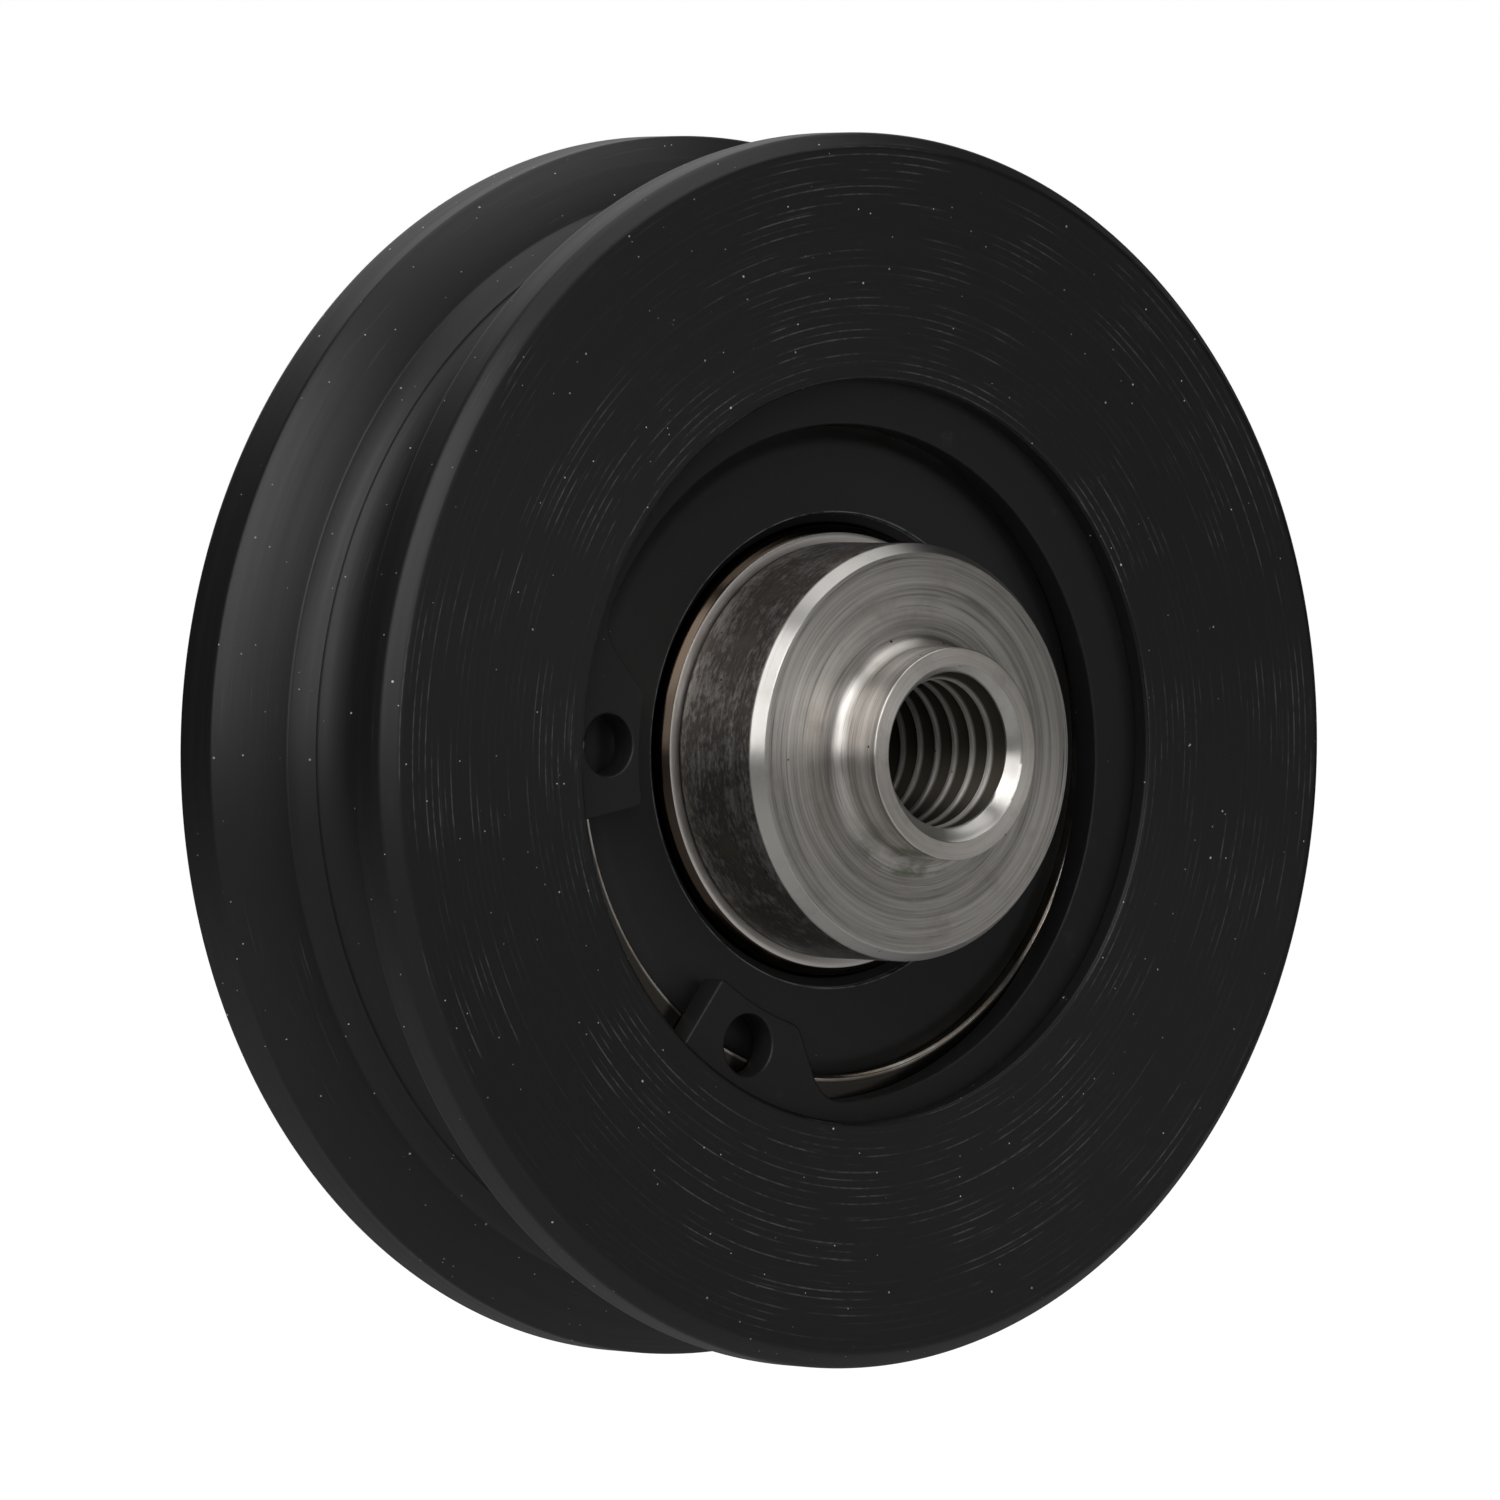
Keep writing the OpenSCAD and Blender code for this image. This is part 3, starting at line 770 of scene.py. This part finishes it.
wheel_outline = eased(
    [(SHOULDER_BORE_R, bearing_back, LIP_EASE),
     (SHOULDER_BORE_R, wheel_back + MOUTH, BORE_EASE),
     (SHOULDER_BORE_R + MOUTH, wheel_back, BORE_EASE),
     (wheel_r - RIM_CHAMFER, wheel_back, RIM_EASE),
     (wheel_r, wheel_back + RIM_CHAMFER, RIM_EASE),
     (wheel_r, groove_rear, LIP_EASE)]
    + groove
    + [(wheel_r, groove_front, LIP_EASE),
       (wheel_r, wheel_front - RIM_CHAMFER, RIM_EASE),
       (wheel_r - RIM_CHAMFER, wheel_front, RIM_EASE),
       (bearing_r + MOUTH, wheel_front, SEAT_EASE),
       (bearing_r, wheel_front - MOUTH, SEAT_EASE),
       (bearing_r, bore_ring_front + RING_PLAY, SLOT_EASE),
       (RING_GROOVE_R, bore_ring_front + RING_PLAY, SLOT_EASE),
       (RING_GROOVE_R, bearing_front - RING_PLAY, SLOT_EASE),
       (bearing_r, bearing_front - RING_PLAY, SLOT_EASE),
       (bearing_r, bearing_back, BORE_EASE)])
turn_piece("wheel", wheel_outline, WHEEL_SEGMENTS, materials["wheel_plastic"], "wheel",
           "wheel_plastic", "wheel_body")

# %% [markdown]
# ## The bearing's rings
# Between the retaining ring and the hub a thin bright edge of the outer ring shows, then the
# flat black seal, its lip, and the inner ring's end face. A bearing is the same from both
# sides, so half of each outline is written down and the other half is its mirror.

# %% Rings
RING_SEGMENTS = 240
RACE_STEPS = 14
GROUND_EASE, EDGE_EASE, LAND_EASE, SMALL_EASE, OUTER_EASE = 0.1, 0.05, 0.2, 0.06, 0.12


def both_faces(half_outline):
    """A bearing ring's outline: the half in front of its middle, which starts at the middle of
    the race, and the mirror of that half without that first point."""
    rear = [(c[0], -c[1]) + tuple(c[2:]) for c in reversed(half_outline[1:])]
    corners = half_outline + rear
    return [(c[0], c[1] + bearing_middle) + tuple(c[2:]) for c in corners]


def race(centre_r, shoulder_r, side):
    """Half of a ball race, from its middle forwards; side is 1 for the outer ring, -1 inner."""
    lean = math.degrees(math.acos((shoulder_r - centre_r) / (side * race_r)))
    start, end = (0, lean) if side > 0 else (180, 180 - lean)
    return arc(centre_r, 0, race_r, start, end, RACE_STEPS)


outer_half = race(PITCH_R - race_offset, outer_shoulder_r, 1)
outer_half += [(outer_shoulder_r, seal_inner, GROUND_EASE),
               (seal_seat_r + SEAL_BEAD, seal_inner, EDGE_EASE),
               (seal_seat_r + SEAL_BEAD, seal_bead, EDGE_EASE),
               (seal_seat_r, seal_bead, EDGE_EASE),
               (seal_seat_r, half_w - SEAL_RECESS / 2, EDGE_EASE),
               (seal_seat_r + SEAL_RECESS / 2, half_w, EDGE_EASE),
               (bearing_r - RING_CHAMFER, half_w, OUTER_EASE),
               (bearing_r, half_w - RING_CHAMFER, OUTER_EASE)]
inner_half = race(PITCH_R + race_offset, inner_shoulder_r, -1)
inner_half += [(inner_shoulder_r, seal_inner - LIP_GAP - LAND_DROP / 2, GROUND_EASE),
               (inner_land_r, seal_inner - LIP_GAP, GROUND_EASE),
               (inner_land_r, half_w - RING_CHAMFER, LAND_EASE),
               (inner_land_r - RING_CHAMFER, half_w, LAND_EASE),
               (SHAFT_R + RING_CHAMFER, half_w, GROUND_EASE),
               (SHAFT_R, half_w - RING_CHAMFER, GROUND_EASE)]
turn_piece("outer_ring", eased(both_faces(outer_half)), RING_SEGMENTS, materials["ring_steel"],
           "wheel", "ring_steel", "bearing_outer_ring")
turn_piece("inner_ring", eased(both_faces(inner_half)), RING_SEGMENTS, materials["ring_steel"],
           "hub", "ring_steel", "bearing_inner_ring")

# %% [markdown]
# ## Seals
# Each seal is a flat rubber disc. A bead on its rim snaps into the outer ring, and a thin lip on
# its inside runs just clear of the inner ring. The rear seal is the front one's mirror, so one
# outline makes both.

# %% Seals
MOULDED_EASE, BEAD_EASE, FACE_EASE = 0.08, 0.04, 0.3


def seal_outline(side):
    """The front seal's outline, or the rear one's when side is -1."""
    corners = [(lip_tip_r, seal_inner, MOULDED_EASE),
               (seal_seat_r + SEAL_BEAD, seal_inner, MOULDED_EASE),
               (seal_seat_r + SEAL_BEAD, seal_bead, MOULDED_EASE),
               (seal_seat_r, seal_bead, BEAD_EASE),
               (seal_seat_r, seal_outer - SEAL_SLOPE_DROP, SMALL_EASE),
               (seal_seat_r - SEAL_SLOPE_WIDTH, seal_outer, FACE_EASE),
               (lip_root_r, seal_outer, EDGE_EASE),
               (lip_root_r, seal_outer - SEAL_T / 3, SMALL_EASE),
               (lip_tip_r, seal_bead, SMALL_EASE)]
    return eased([(r, bearing_middle + side * z, ease) for r, z, ease in corners])


for seal_name, side in (("seal_front", 1), ("seal_rear", -1)):
    turn_piece("rubber_" + seal_name, seal_outline(side), RING_SEGMENTS, materials["seal_rubber"],
               "wheel", "seal_rubber", seal_name)

# %% [markdown]
# ## The hub and its thread
# The hub is turned like the rest, but its bore has a cut thread: a V that climbs one pitch for
# each turn. A bump map would look painted, because the thread is seen at a slant, so the bore
# is a real helical surface. Its rows follow the helix, so crests and roots stay crisp. The
# chamfers at both mouths are cones that cut the thread off: at each point the wider wins.

# %% Hub outline
THREAD_LAND = 0.02     # the flat ring between the thread's end and the outline, mm
FILLET_STEPS = 12
tail_back = shaft_ring_back - 2 * RING_PLAY

hub_outline = eased(
    [(THREAD_MAJOR_R + THREAD_LAND, hub_front),
     (BOSS_R, hub_front, OUTER_EASE)]
    + arc(fillet_r, collar_front + BOSS_FILLET, BOSS_FILLET, 180, 270, FILLET_STEPS)
    + [(collar_r - CHAMFER_DROP, collar_front, SMALL_EASE),
       (collar_r, chamfer_foot, SMALL_EASE),
       (collar_r, bearing_front, GROUND_EASE),
       (SHAFT_R, bearing_front, EDGE_EASE),
       (SHAFT_R, bearing_back, EDGE_EASE),
       (SHAFT_GROOVE_R, bearing_back, EDGE_EASE),
       (SHAFT_GROOVE_R, tail_back, EDGE_EASE),
       (SHAFT_R, tail_back, EDGE_EASE),
       (SHAFT_R, hub_back + TAIL_CHAMFER, MOULDED_EASE),
       (SHAFT_R - TAIL_CHAMFER, hub_back, MOULDED_EASE),
       (THREAD_MAJOR_R + THREAD_LAND, hub_back)])
print("hub outline:", len(hub_outline), "points")

# %% One pitch of the thread
HUB_SEGMENTS = 192
ROOT_FLAT, CREST_FLAT = 1 / 8, 1 / 6
thread_depth = THREAD_MAJOR_R - THREAD_MINOR_R
flank = (1 - ROOT_FLAT - CREST_FLAT) / 2
# Places across one pitch, from the middle of a crest, with how deep the cut is there.
cut = [(0.0, 0.0), (CREST_FLAT / 2, 0.0), (CREST_FLAT / 2 + 0.02, 0.06)]
cut += [(CREST_FLAT / 2 + flank * t, t) for t in (0.25, 0.5, 0.75, 0.96)]
cut += [(CREST_FLAT / 2 + flank + ROOT_FLAT * t, 1.0) for t in (0.15, 0.5)]
cut += [(1 - place, depth) for place, depth in reversed(cut[1:-1])]


def cone_r(z):
    """Radius of the nearer mouth's chamfer at z."""
    return THREAD_MAJOR_R - min(hub_front - z, z - hub_back)


def thread_rows():
    """Rows (first z, cut depth) of the helix, from below the hub's rear end to above its front."""
    first = math.floor(hub_back / THREAD_PITCH) - 2
    last = math.ceil(hub_front / THREAD_PITCH) + 1
    turns = [turn * THREAD_PITCH for turn in range(first, last)]
    return [(start + place * THREAD_PITCH, depth) for start in turns for place, depth in cut]


print("thread:", len(thread_rows()), "rows,", HUB_SEGMENTS, "points a turn")

# %% Cut the thread
SAME_POINT, ON_PLANE, ON_END = 1e-5, 1e-6, 1e-4     # how near counts as touching, mm


def add_thread(builder):
    """Adds the bore's surface and trims it at the hub's two end faces."""
    rings = []
    for start, depth in thread_rows():
        ring = []
        for s in range(HUB_SEGMENTS + 1):
            share = s / HUB_SEGMENTS
            z = start + share * THREAD_PITCH
            within = min(max(z, hub_back), hub_front)
            r = max(THREAD_MINOR_R + thread_depth * depth, cone_r(within))
            angle = 2 * math.pi * share
            ring.append(builder.verts.new((r * math.cos(angle), r * math.sin(angle), z)))
        rings.append(ring)
    for low, high in zip(rings, rings[1:]):
        for s in range(HUB_SEGMENTS):
            builder.faces.new((low[s], low[s + 1], high[s + 1], high[s])).smooth = True
    bmesh.ops.remove_doubles(builder, verts=builder.verts[:], dist=SAME_POINT)
    for z, outward in ((hub_front, 1), (hub_back, -1)):
        everything = builder.verts[:] + builder.edges[:] + builder.faces[:]
        bmesh.ops.bisect_plane(builder, geom=everything, dist=ON_PLANE, plane_co=(0, 0, z),
                               plane_no=(0, 0, outward), clear_outer=True)


def close_end(builder, ring, z):
    """Joins the thread's cut edge at z to a ring of the hub's outline."""
    own = set(ring)
    open_edges = [e for e in builder.edges if e.is_boundary]
    rim = [e for e in open_edges if all(abs(v.co.z - z) < ON_END for v in e.verts)]
    outer = [e for e in rim if e.verts[0] in own and e.verts[1] in own]
    inner = [e for e in rim if e.verts[0] not in own and e.verts[1] not in own]
    bmesh.ops.bridge_loops(builder, edges=inner + outer)


hub_builder = bmesh.new()
add_thread(hub_builder)
hub_rings = sweep(hub_builder, hub_outline, HUB_SEGMENTS, closed=False)
close_end(hub_builder, hub_rings[0], hub_front)
close_end(hub_builder, hub_rings[-1], hub_back)
print("open edges on the hub:", sum(e.is_boundary for e in hub_builder.edges))
new_piece("hub", hub_builder, materials["hub_steel"], "hub", "hub_steel", "threaded_hub")

# %% [markdown]
# ## The retaining rings
# Two flat rings hold the bearing in the wheel and the hub in the bearing. Each is punched from
# sheet, so its outline has rounded corners. A curve object could carry the outline, but its
# corners would need handles set by hand. We draw paths that meet at corners and round those.

# %% Paths
CURVE_STEP = 0.3       # about how far apart the points of a curve lie, mm


def polar(r, angle):
    """A point at a radius and an angle in degrees."""
    return Vector((r * math.cos(math.radians(angle)), r * math.sin(math.radians(angle))))


def curve(centre_x, radius, start, end):
    """Points along an arc about (centre_x, 0), its angles in degrees."""
    count = max(2, math.ceil(abs(math.radians(end - start)) * radius / CURVE_STEP))
    turns = [start + (end - start) * i / count for i in range(count + 1)]
    return [Vector((centre_x, 0)) + polar(radius, turn) for turn in turns]


def mirrored(path):
    """A path on the other side of the x axis, walked the other way."""
    return [Vector((p.x, -p.y)) for p in reversed(path)]


def hole(centre, diameter, steps=40):
    """A hole's outline, clockwise, so that its metal lies on the left like the outline's."""
    turns = [-360 * step / steps for step in range(steps)]
    return [centre + polar(diameter / 2, turn) for turn in turns]


print("a hole of 3 mm has", len(hole(Vector((0, 0)), 3.0)), "points")

# %% Round corners
def shortened(points, length):
    """A path without its first length mm, of which at least a bit stays."""
    while len(points) > 2 and (points[1] - points[0]).length <= length:
        length -= (points[1] - points[0]).length
        points = points[1:]
    first = points[1] - points[0]
    return [points[0] + first.normalized() * min(length, 0.8 * first.length)] + points[1:]


def rounded(paths, eases, steps=5):
    """A closed outline from paths that each start where the last one ends. Each corner is rounded
    over an ease in mm, and eases names them in the order in which the paths end."""
    trimmed = []
    for i, path in enumerate(paths):
        tail_kept = shortened(path, eases[i - 1])
        trimmed.append(shortened(tail_kept[::-1], eases[i])[::-1])
    outline = []
    for i, path in enumerate(trimmed):
        corner, onward = paths[i][-1], trimmed[(i + 1) % len(trimmed)][0]
        outline += path
        for step in range(1, steps):
            t = step / steps
            outline.append(path[-1] * (1 - t) ** 2 + corner * 2 * t * (1 - t) + onward * t ** 2)
    return outline


print("a path of", len(curve(0, 10, 0, 90)), "points keeps", len(shortened(curve(0, 10, 0, 90), 3)))

# %% [markdown]
# ## Plates with rolled edges
# A punched edge is drawn over on both faces. The Bevel modifier would do it, yet it struggles
# with outlines this fine. So the outline is repeated at a few heights, each moved a little into
# the metal, and the two flat faces are filled between the outermost outline and its holes.

# %% Plates with rolled edges
ROLL_ANGLES = (0, 30, 60, 90)


def moved_in(outline, inset):
    """An outline moved into the metal, which lies on its left."""
    moved = []
    for i, point in enumerate(outline):
        ahead = (outline[(i + 1) % len(outline)] - point).normalized()
        behind = (point - outline[i - 1]).normalized()
        way = (ahead + behind).normalized()
        moved.append(point + Vector((-way.y, way.x)) * inset)
    return moved


def plate(name, outlines, z_low, z_high, ease, turn, body, stands_for):
    """A flat ring of spring steel between two heights, its outer outline first, then its holes."""
    builder = bmesh.new()
    bends = [math.radians(angle) for angle in ROLL_ANGLES]
    levels = [(ease * (1 - math.sin(b)), z_low + ease * (1 - math.cos(b))) for b in bends]
    levels += [(inset, z_low + z_high - z) for inset, z in reversed(levels)]
    spin = Matrix.Rotation(math.radians(turn), 3, "Z")
    ends = {0: [], len(levels) - 1: []}
    for outline in outlines:
        rings = []
        for inset, z in levels:
            moved = moved_in(outline, inset)
            rings.append([builder.verts.new(spin @ Vector((*p, z))) for p in moved])
        for low, high in zip(rings, rings[1:]):
            for s in range(len(low)):
                t = (s + 1) % len(low)
                builder.faces.new((low[s], low[t], high[t], high[s])).smooth = True
        for level, loops in ends.items():
            loops.append(rings[level])
    for loops in ends.values():
        points = [v for loop in loops for v in loop]
        for triangle in tessellate_polygon([[v.co for v in loop] for loop in loops]):
            builder.faces.new([points[i] for i in triangle])
    return new_piece(name, builder, materials["spring_steel"], body, "spring_steel", stands_for)


print("rolled edges have", len(ROLL_ANGLES), "levels a side")

# %% [markdown]
# ## The ring in the wheel's bore
# This ring springs outward into the wheel's groove. Its width tapers towards the gap, so that
# it bends evenly, and ends in two lugs with holes for the pliers. The taper comes from an inner
# circle that is set off from the outer one, and one lug is drawn and mirrored for the other.

# %% The ring in the wheel's bore
BORE_RING_R, BORE_RING_WIDE, BORE_RING_NARROW = 22.2, 4.35, 1.75
BORE_LUG_R, BORE_LUG_END, BORE_LUG_SPAN = 16.0, 20.9, 22.5
BORE_HOLE_R, BORE_HOLE_D, BORE_HOLE_ANGLE = 18.3, 3.5, 12.0
BORE_GAP_DIR, BORE_RING_ROLL = 211.9, 0.16
BORE_EASES = [0.3, 0.35, 0.6, 1.6, 1.6, 0.6, 0.35, 0.3]
SEARCH_STEPS = 400
lug_far = BORE_LUG_END + BORE_LUG_SPAN
inner_r = BORE_RING_R - (BORE_RING_WIDE + BORE_RING_NARROW) / 2
inner_x = (BORE_RING_WIDE - BORE_RING_NARROW) / 2
foot = polar(BORE_LUG_R, lug_far)
reach = polar(BORE_RING_R, lug_far + BORE_LUG_SPAN / 2) - foot
steps_out = [foot + reach * (n / SEARCH_STEPS) for n in range(SEARCH_STEPS)]
meet = next(p for p in steps_out if (p - Vector((inner_x, 0))).length >= inner_r)
meet_angle = math.degrees(math.atan2(meet.y, meet.x - inner_x))
lug = [curve(0, BORE_LUG_R, lug_far, BORE_LUG_END),
       [polar(BORE_LUG_R, BORE_LUG_END), polar(BORE_RING_R, BORE_LUG_END)]]
far_side = [meet, foot]
paths = [curve(0, BORE_RING_R, BORE_LUG_END, 360 - BORE_LUG_END),
         mirrored(lug[1]), mirrored(lug[0]), mirrored(far_side),
         curve(inner_x, inner_r, 360 - meet_angle, meet_angle),
         far_side, lug[0], lug[1]]
bore_outlines = [rounded(paths, BORE_EASES)]
for side in (1, -1):
    centre = polar(BORE_HOLE_R, side * (BORE_LUG_END + BORE_HOLE_ANGLE))
    bore_outlines.append(hole(centre, BORE_HOLE_D))
plate("bore_ring", bore_outlines, bearing_front, bore_ring_front, BORE_RING_ROLL, BORE_GAP_DIR,
      "wheel", "bore_retaining_ring")

# %% [markdown]
# ## The ring on the hub
# The smaller ring grips the groove in the hub's tail, so here the inner edge is the true circle,
# the outer one is set off, and the lugs point outward.

# %% The ring on the hub
SHAFT_RING_R, SHAFT_RING_WIDE, SHAFT_RING_NARROW = 9.55, 2.6, 1.5
SHAFT_LUG_R, SHAFT_LUG_END, SHAFT_LUG_FAR = 13.4, 12.0, 32.0
SHAFT_HOLE_D, SHAFT_GAP_DIR, SHAFT_RING_ROLL = 2.0, 75.0, 0.12
SHAFT_EASES = [0.3, 0.3, 0.6, 0.6, 0.3, 0.3, 0.2, 0.2]
outer_r = SHAFT_RING_R + (SHAFT_RING_WIDE + SHAFT_RING_NARROW) / 2
outer_x = -(SHAFT_RING_WIDE - SHAFT_RING_NARROW) / 2
side_way = polar(1, SHAFT_LUG_FAR)
climb = outer_x * side_way.x + math.sqrt(outer_r ** 2 - (outer_x * side_way.y) ** 2)
meet = side_way * climb
meet_angle = math.degrees(math.atan2(meet.y, meet.x - outer_x))
lug = [[polar(SHAFT_RING_R, SHAFT_LUG_END), polar(SHAFT_LUG_R, SHAFT_LUG_END)],
       curve(0, SHAFT_LUG_R, SHAFT_LUG_END, SHAFT_LUG_FAR),
       [polar(SHAFT_LUG_R, SHAFT_LUG_FAR), meet]]
paths = lug + [curve(outer_x, outer_r, meet_angle, 360 - meet_angle)]
paths += [mirrored(path) for path in reversed(lug)]
paths += [curve(0, SHAFT_RING_R, 360 - SHAFT_LUG_END, SHAFT_LUG_END)]
shaft_outlines = [rounded(paths, SHAFT_EASES)]
hole_r, hole_angle = (SHAFT_RING_R + SHAFT_LUG_R) / 2, (SHAFT_LUG_END + SHAFT_LUG_FAR) / 2
for side in (1, -1):
    shaft_outlines.append(hole(polar(hole_r, side * hole_angle), SHAFT_HOLE_D))
plate("shaft_ring", shaft_outlines, shaft_ring_back, shaft_ring_front, SHAFT_RING_ROLL,
      SHAFT_GAP_DIR, "hub", "shaft_retaining_ring")

# %% [markdown]
# ## Inside
# The balls and the cage keep their CAD shapes, which are fine enough for pieces behind the
# seals. Only their finish changes.

# %% Finish the CAD nodes that stay
for node_name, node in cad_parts.items():
    if node.hide_render:
        continue
    finish = materials["ball_steel" if node_name.startswith("ball_") else "cage_steel"]
    node.data.materials.clear()
    node.data.materials.append(finish)
    print(node_name, "gets", finish.name)

# %% [markdown]
# ## Light
# The wheel is black, so it shows the lamps more than its own colour. Two softboxes to the left
# stand one above the other, and the lower edge of the low one is as high as the axle, which
# gives the steel its bright upper and darker lower half. A narrow strip beside them draws the
# bright lines in the groove, a weak panel in front lifts the steel's faces, and a lamp overhead
# wakes the turning rings. One big lamp would be simpler, but the plastic would look flat.

# %% Softboxes
SOFTBOX_DISTANCE, PANEL_DISTANCE = 0.85, 0.95


def softbox(name, size, radiance, place, target):
    """A flat lamp at place that faces target, in metres, and looks as bright as radiance."""
    data = bpy.data.lights.new(name, "AREA")
    data.shape = "RECTANGLE"
    data.size, data.size_y = size
    data.energy = math.pi * size[0] * size[1] * radiance
    lamp = bpy.data.objects.new(name, data)
    bpy.context.scene.collection.objects.link(lamp)
    lamp.location = place
    lamp.rotation_euler = (Vector(place) - Vector(target)).to_track_quat("Z", "Y").to_euler()
    print(name, "gives", round(data.energy, 2), "W")


def standing(name, azimuth, distance, width, low, high, radiance):
    """A softbox on its stand, turned from the front towards the left by azimuth degrees."""
    turn = math.radians(azimuth)
    middle = (low + high) / 2
    place = (-distance * math.sin(turn), -distance * math.cos(turn), middle)
    softbox(name, (width, high - low), radiance, place, (0, 0, middle))


standing("left_softbox_low", 49, SOFTBOX_DISTANCE, width=0.56, low=0.0, high=0.34, radiance=1.7)
standing("left_softbox_high", 46, SOFTBOX_DISTANCE, width=0.72, low=0.34, high=1.20, radiance=3.1)
standing("left_strip", 73, SOFTBOX_DISTANCE, width=0.14, low=0.0, high=0.36, radiance=4.5)
standing("front_panel", 335, PANEL_DISTANCE, width=0.70, low=-0.05, high=0.34, radiance=0.5)
softbox("top_softbox", size=(0.9, 0.9), radiance=1.25, place=(0.12, -0.12, 0.95), target=(0, 0, 0))

# %% [markdown]
# ## Floor
# The floor is plain paper to the lamps. To the camera it also glows, almost to white, so that
# the shadow of the wheel stays on it. The paper's shade is a painted pool of light, lighter near
# the wheel and darker farther out, where the glow reaches white, and the floor meets the backdrop
# without an edge. A larger lamp on the paper could whiten it as well, but it would show in the
# wheel.

# %% Floor paint
FADE_START, FADE_END = 0.15, 0.45          # metres from under the wheel
floor_paint = Paint("floor_white")


def plain_paper(shade):
    return floor_paint.node("ShaderNodeBsdfDiffuse", values={"Color": grey(shade)})["BSDF"]


def glowing_paper(strength):
    values = {"Color": grey(1.0), "Strength": strength}
    return floor_paint.node("ShaderNodeEmission", values=values)["Emission"]


far = (Turned(floor_paint).r * MM).step_up(FADE_START, FADE_END)
# Painted light: the paper is lighter near the wheel and darker farther out.
plain = floor_paint.blend(far, plain_paper(0.7), plain_paper(0.35))
glow = floor_paint.blend(far, glowing_paper(0.86), glowing_paper(1.0))
seen = floor_paint.node("ShaderNodeAddShader", values={0: plain, 1: glow})["Shader"]
from_camera = floor_paint.node("ShaderNodeLightPath")["Is Camera Ray"]
paper = floor_paint.blend(from_camera, plain, seen)
floor_paint.node("ShaderNodeOutputMaterial", values={"Surface": paper})
print("the floor's paint fades from", FADE_START, "to", FADE_END, "m")

# %% Floor
FLOOR_BELOW, FLOOR_HALF = 0.10, 60.0       # metres
floor_mesh = bpy.data.meshes.new("floor")
floor_builder = bmesh.new()
bmesh.ops.create_grid(floor_builder, x_segments=8, y_segments=8, size=FLOOR_HALF)
floor_builder.to_mesh(floor_mesh)
floor_builder.free()
floor_mesh.materials.append(floor_paint.material)
floor = bpy.data.objects.new("floor", floor_mesh)
bpy.context.scene.collection.objects.link(floor)
floor.location = (0, 0, -FLOOR_BELOW)
print("floor lies", FLOOR_BELOW / MM, "mm under the axle")

# %% [markdown]
# ## Backdrop
# The camera sees white all round. Reflections see it only behind the wheel, where a backdrop
# would stand, and that lights the top of the rim. A white world for every ray would be simpler,
# but black plastic would mirror it from all sides and turn grey.

# %% Backdrop
DIM, WHITE = 0.02, 1.0
studio = bpy.data.worlds.new("studio")
bpy.context.scene.world = studio
sky = Paint("studio", studio)


def backdrop(strength):
    values = {"Color": grey(1.0), "Strength": strength}
    return sky.node("ShaderNodeBackground", values=values)["Background"]


direction = sky.node("ShaderNodeTexCoord")["Generated"]
look = sky.node("ShaderNodeSeparateXYZ", values={"Vector": direction})
behind = look["Y"].step_up(0.35, 0.55) * look["Z"].step_up(0.0, 0.45)
behind = behind * look["X"].step_up(-0.22, 0.04)
ray = sky.node("ShaderNodeLightPath")
reflected = ray["Is Glossy Ray"].most(ray["Is Transmission Ray"]) * behind
sees_white = ray["Is Camera Ray"].most(reflected)
sky_shader = sky.blend(sees_white, backdrop(DIM), backdrop(WHITE))
sky.node("ShaderNodeOutputWorld", values={"Surface": sky_shader})
bpy.context.scene.view_settings.view_transform = "Standard"
print("the camera sees a white backdrop")
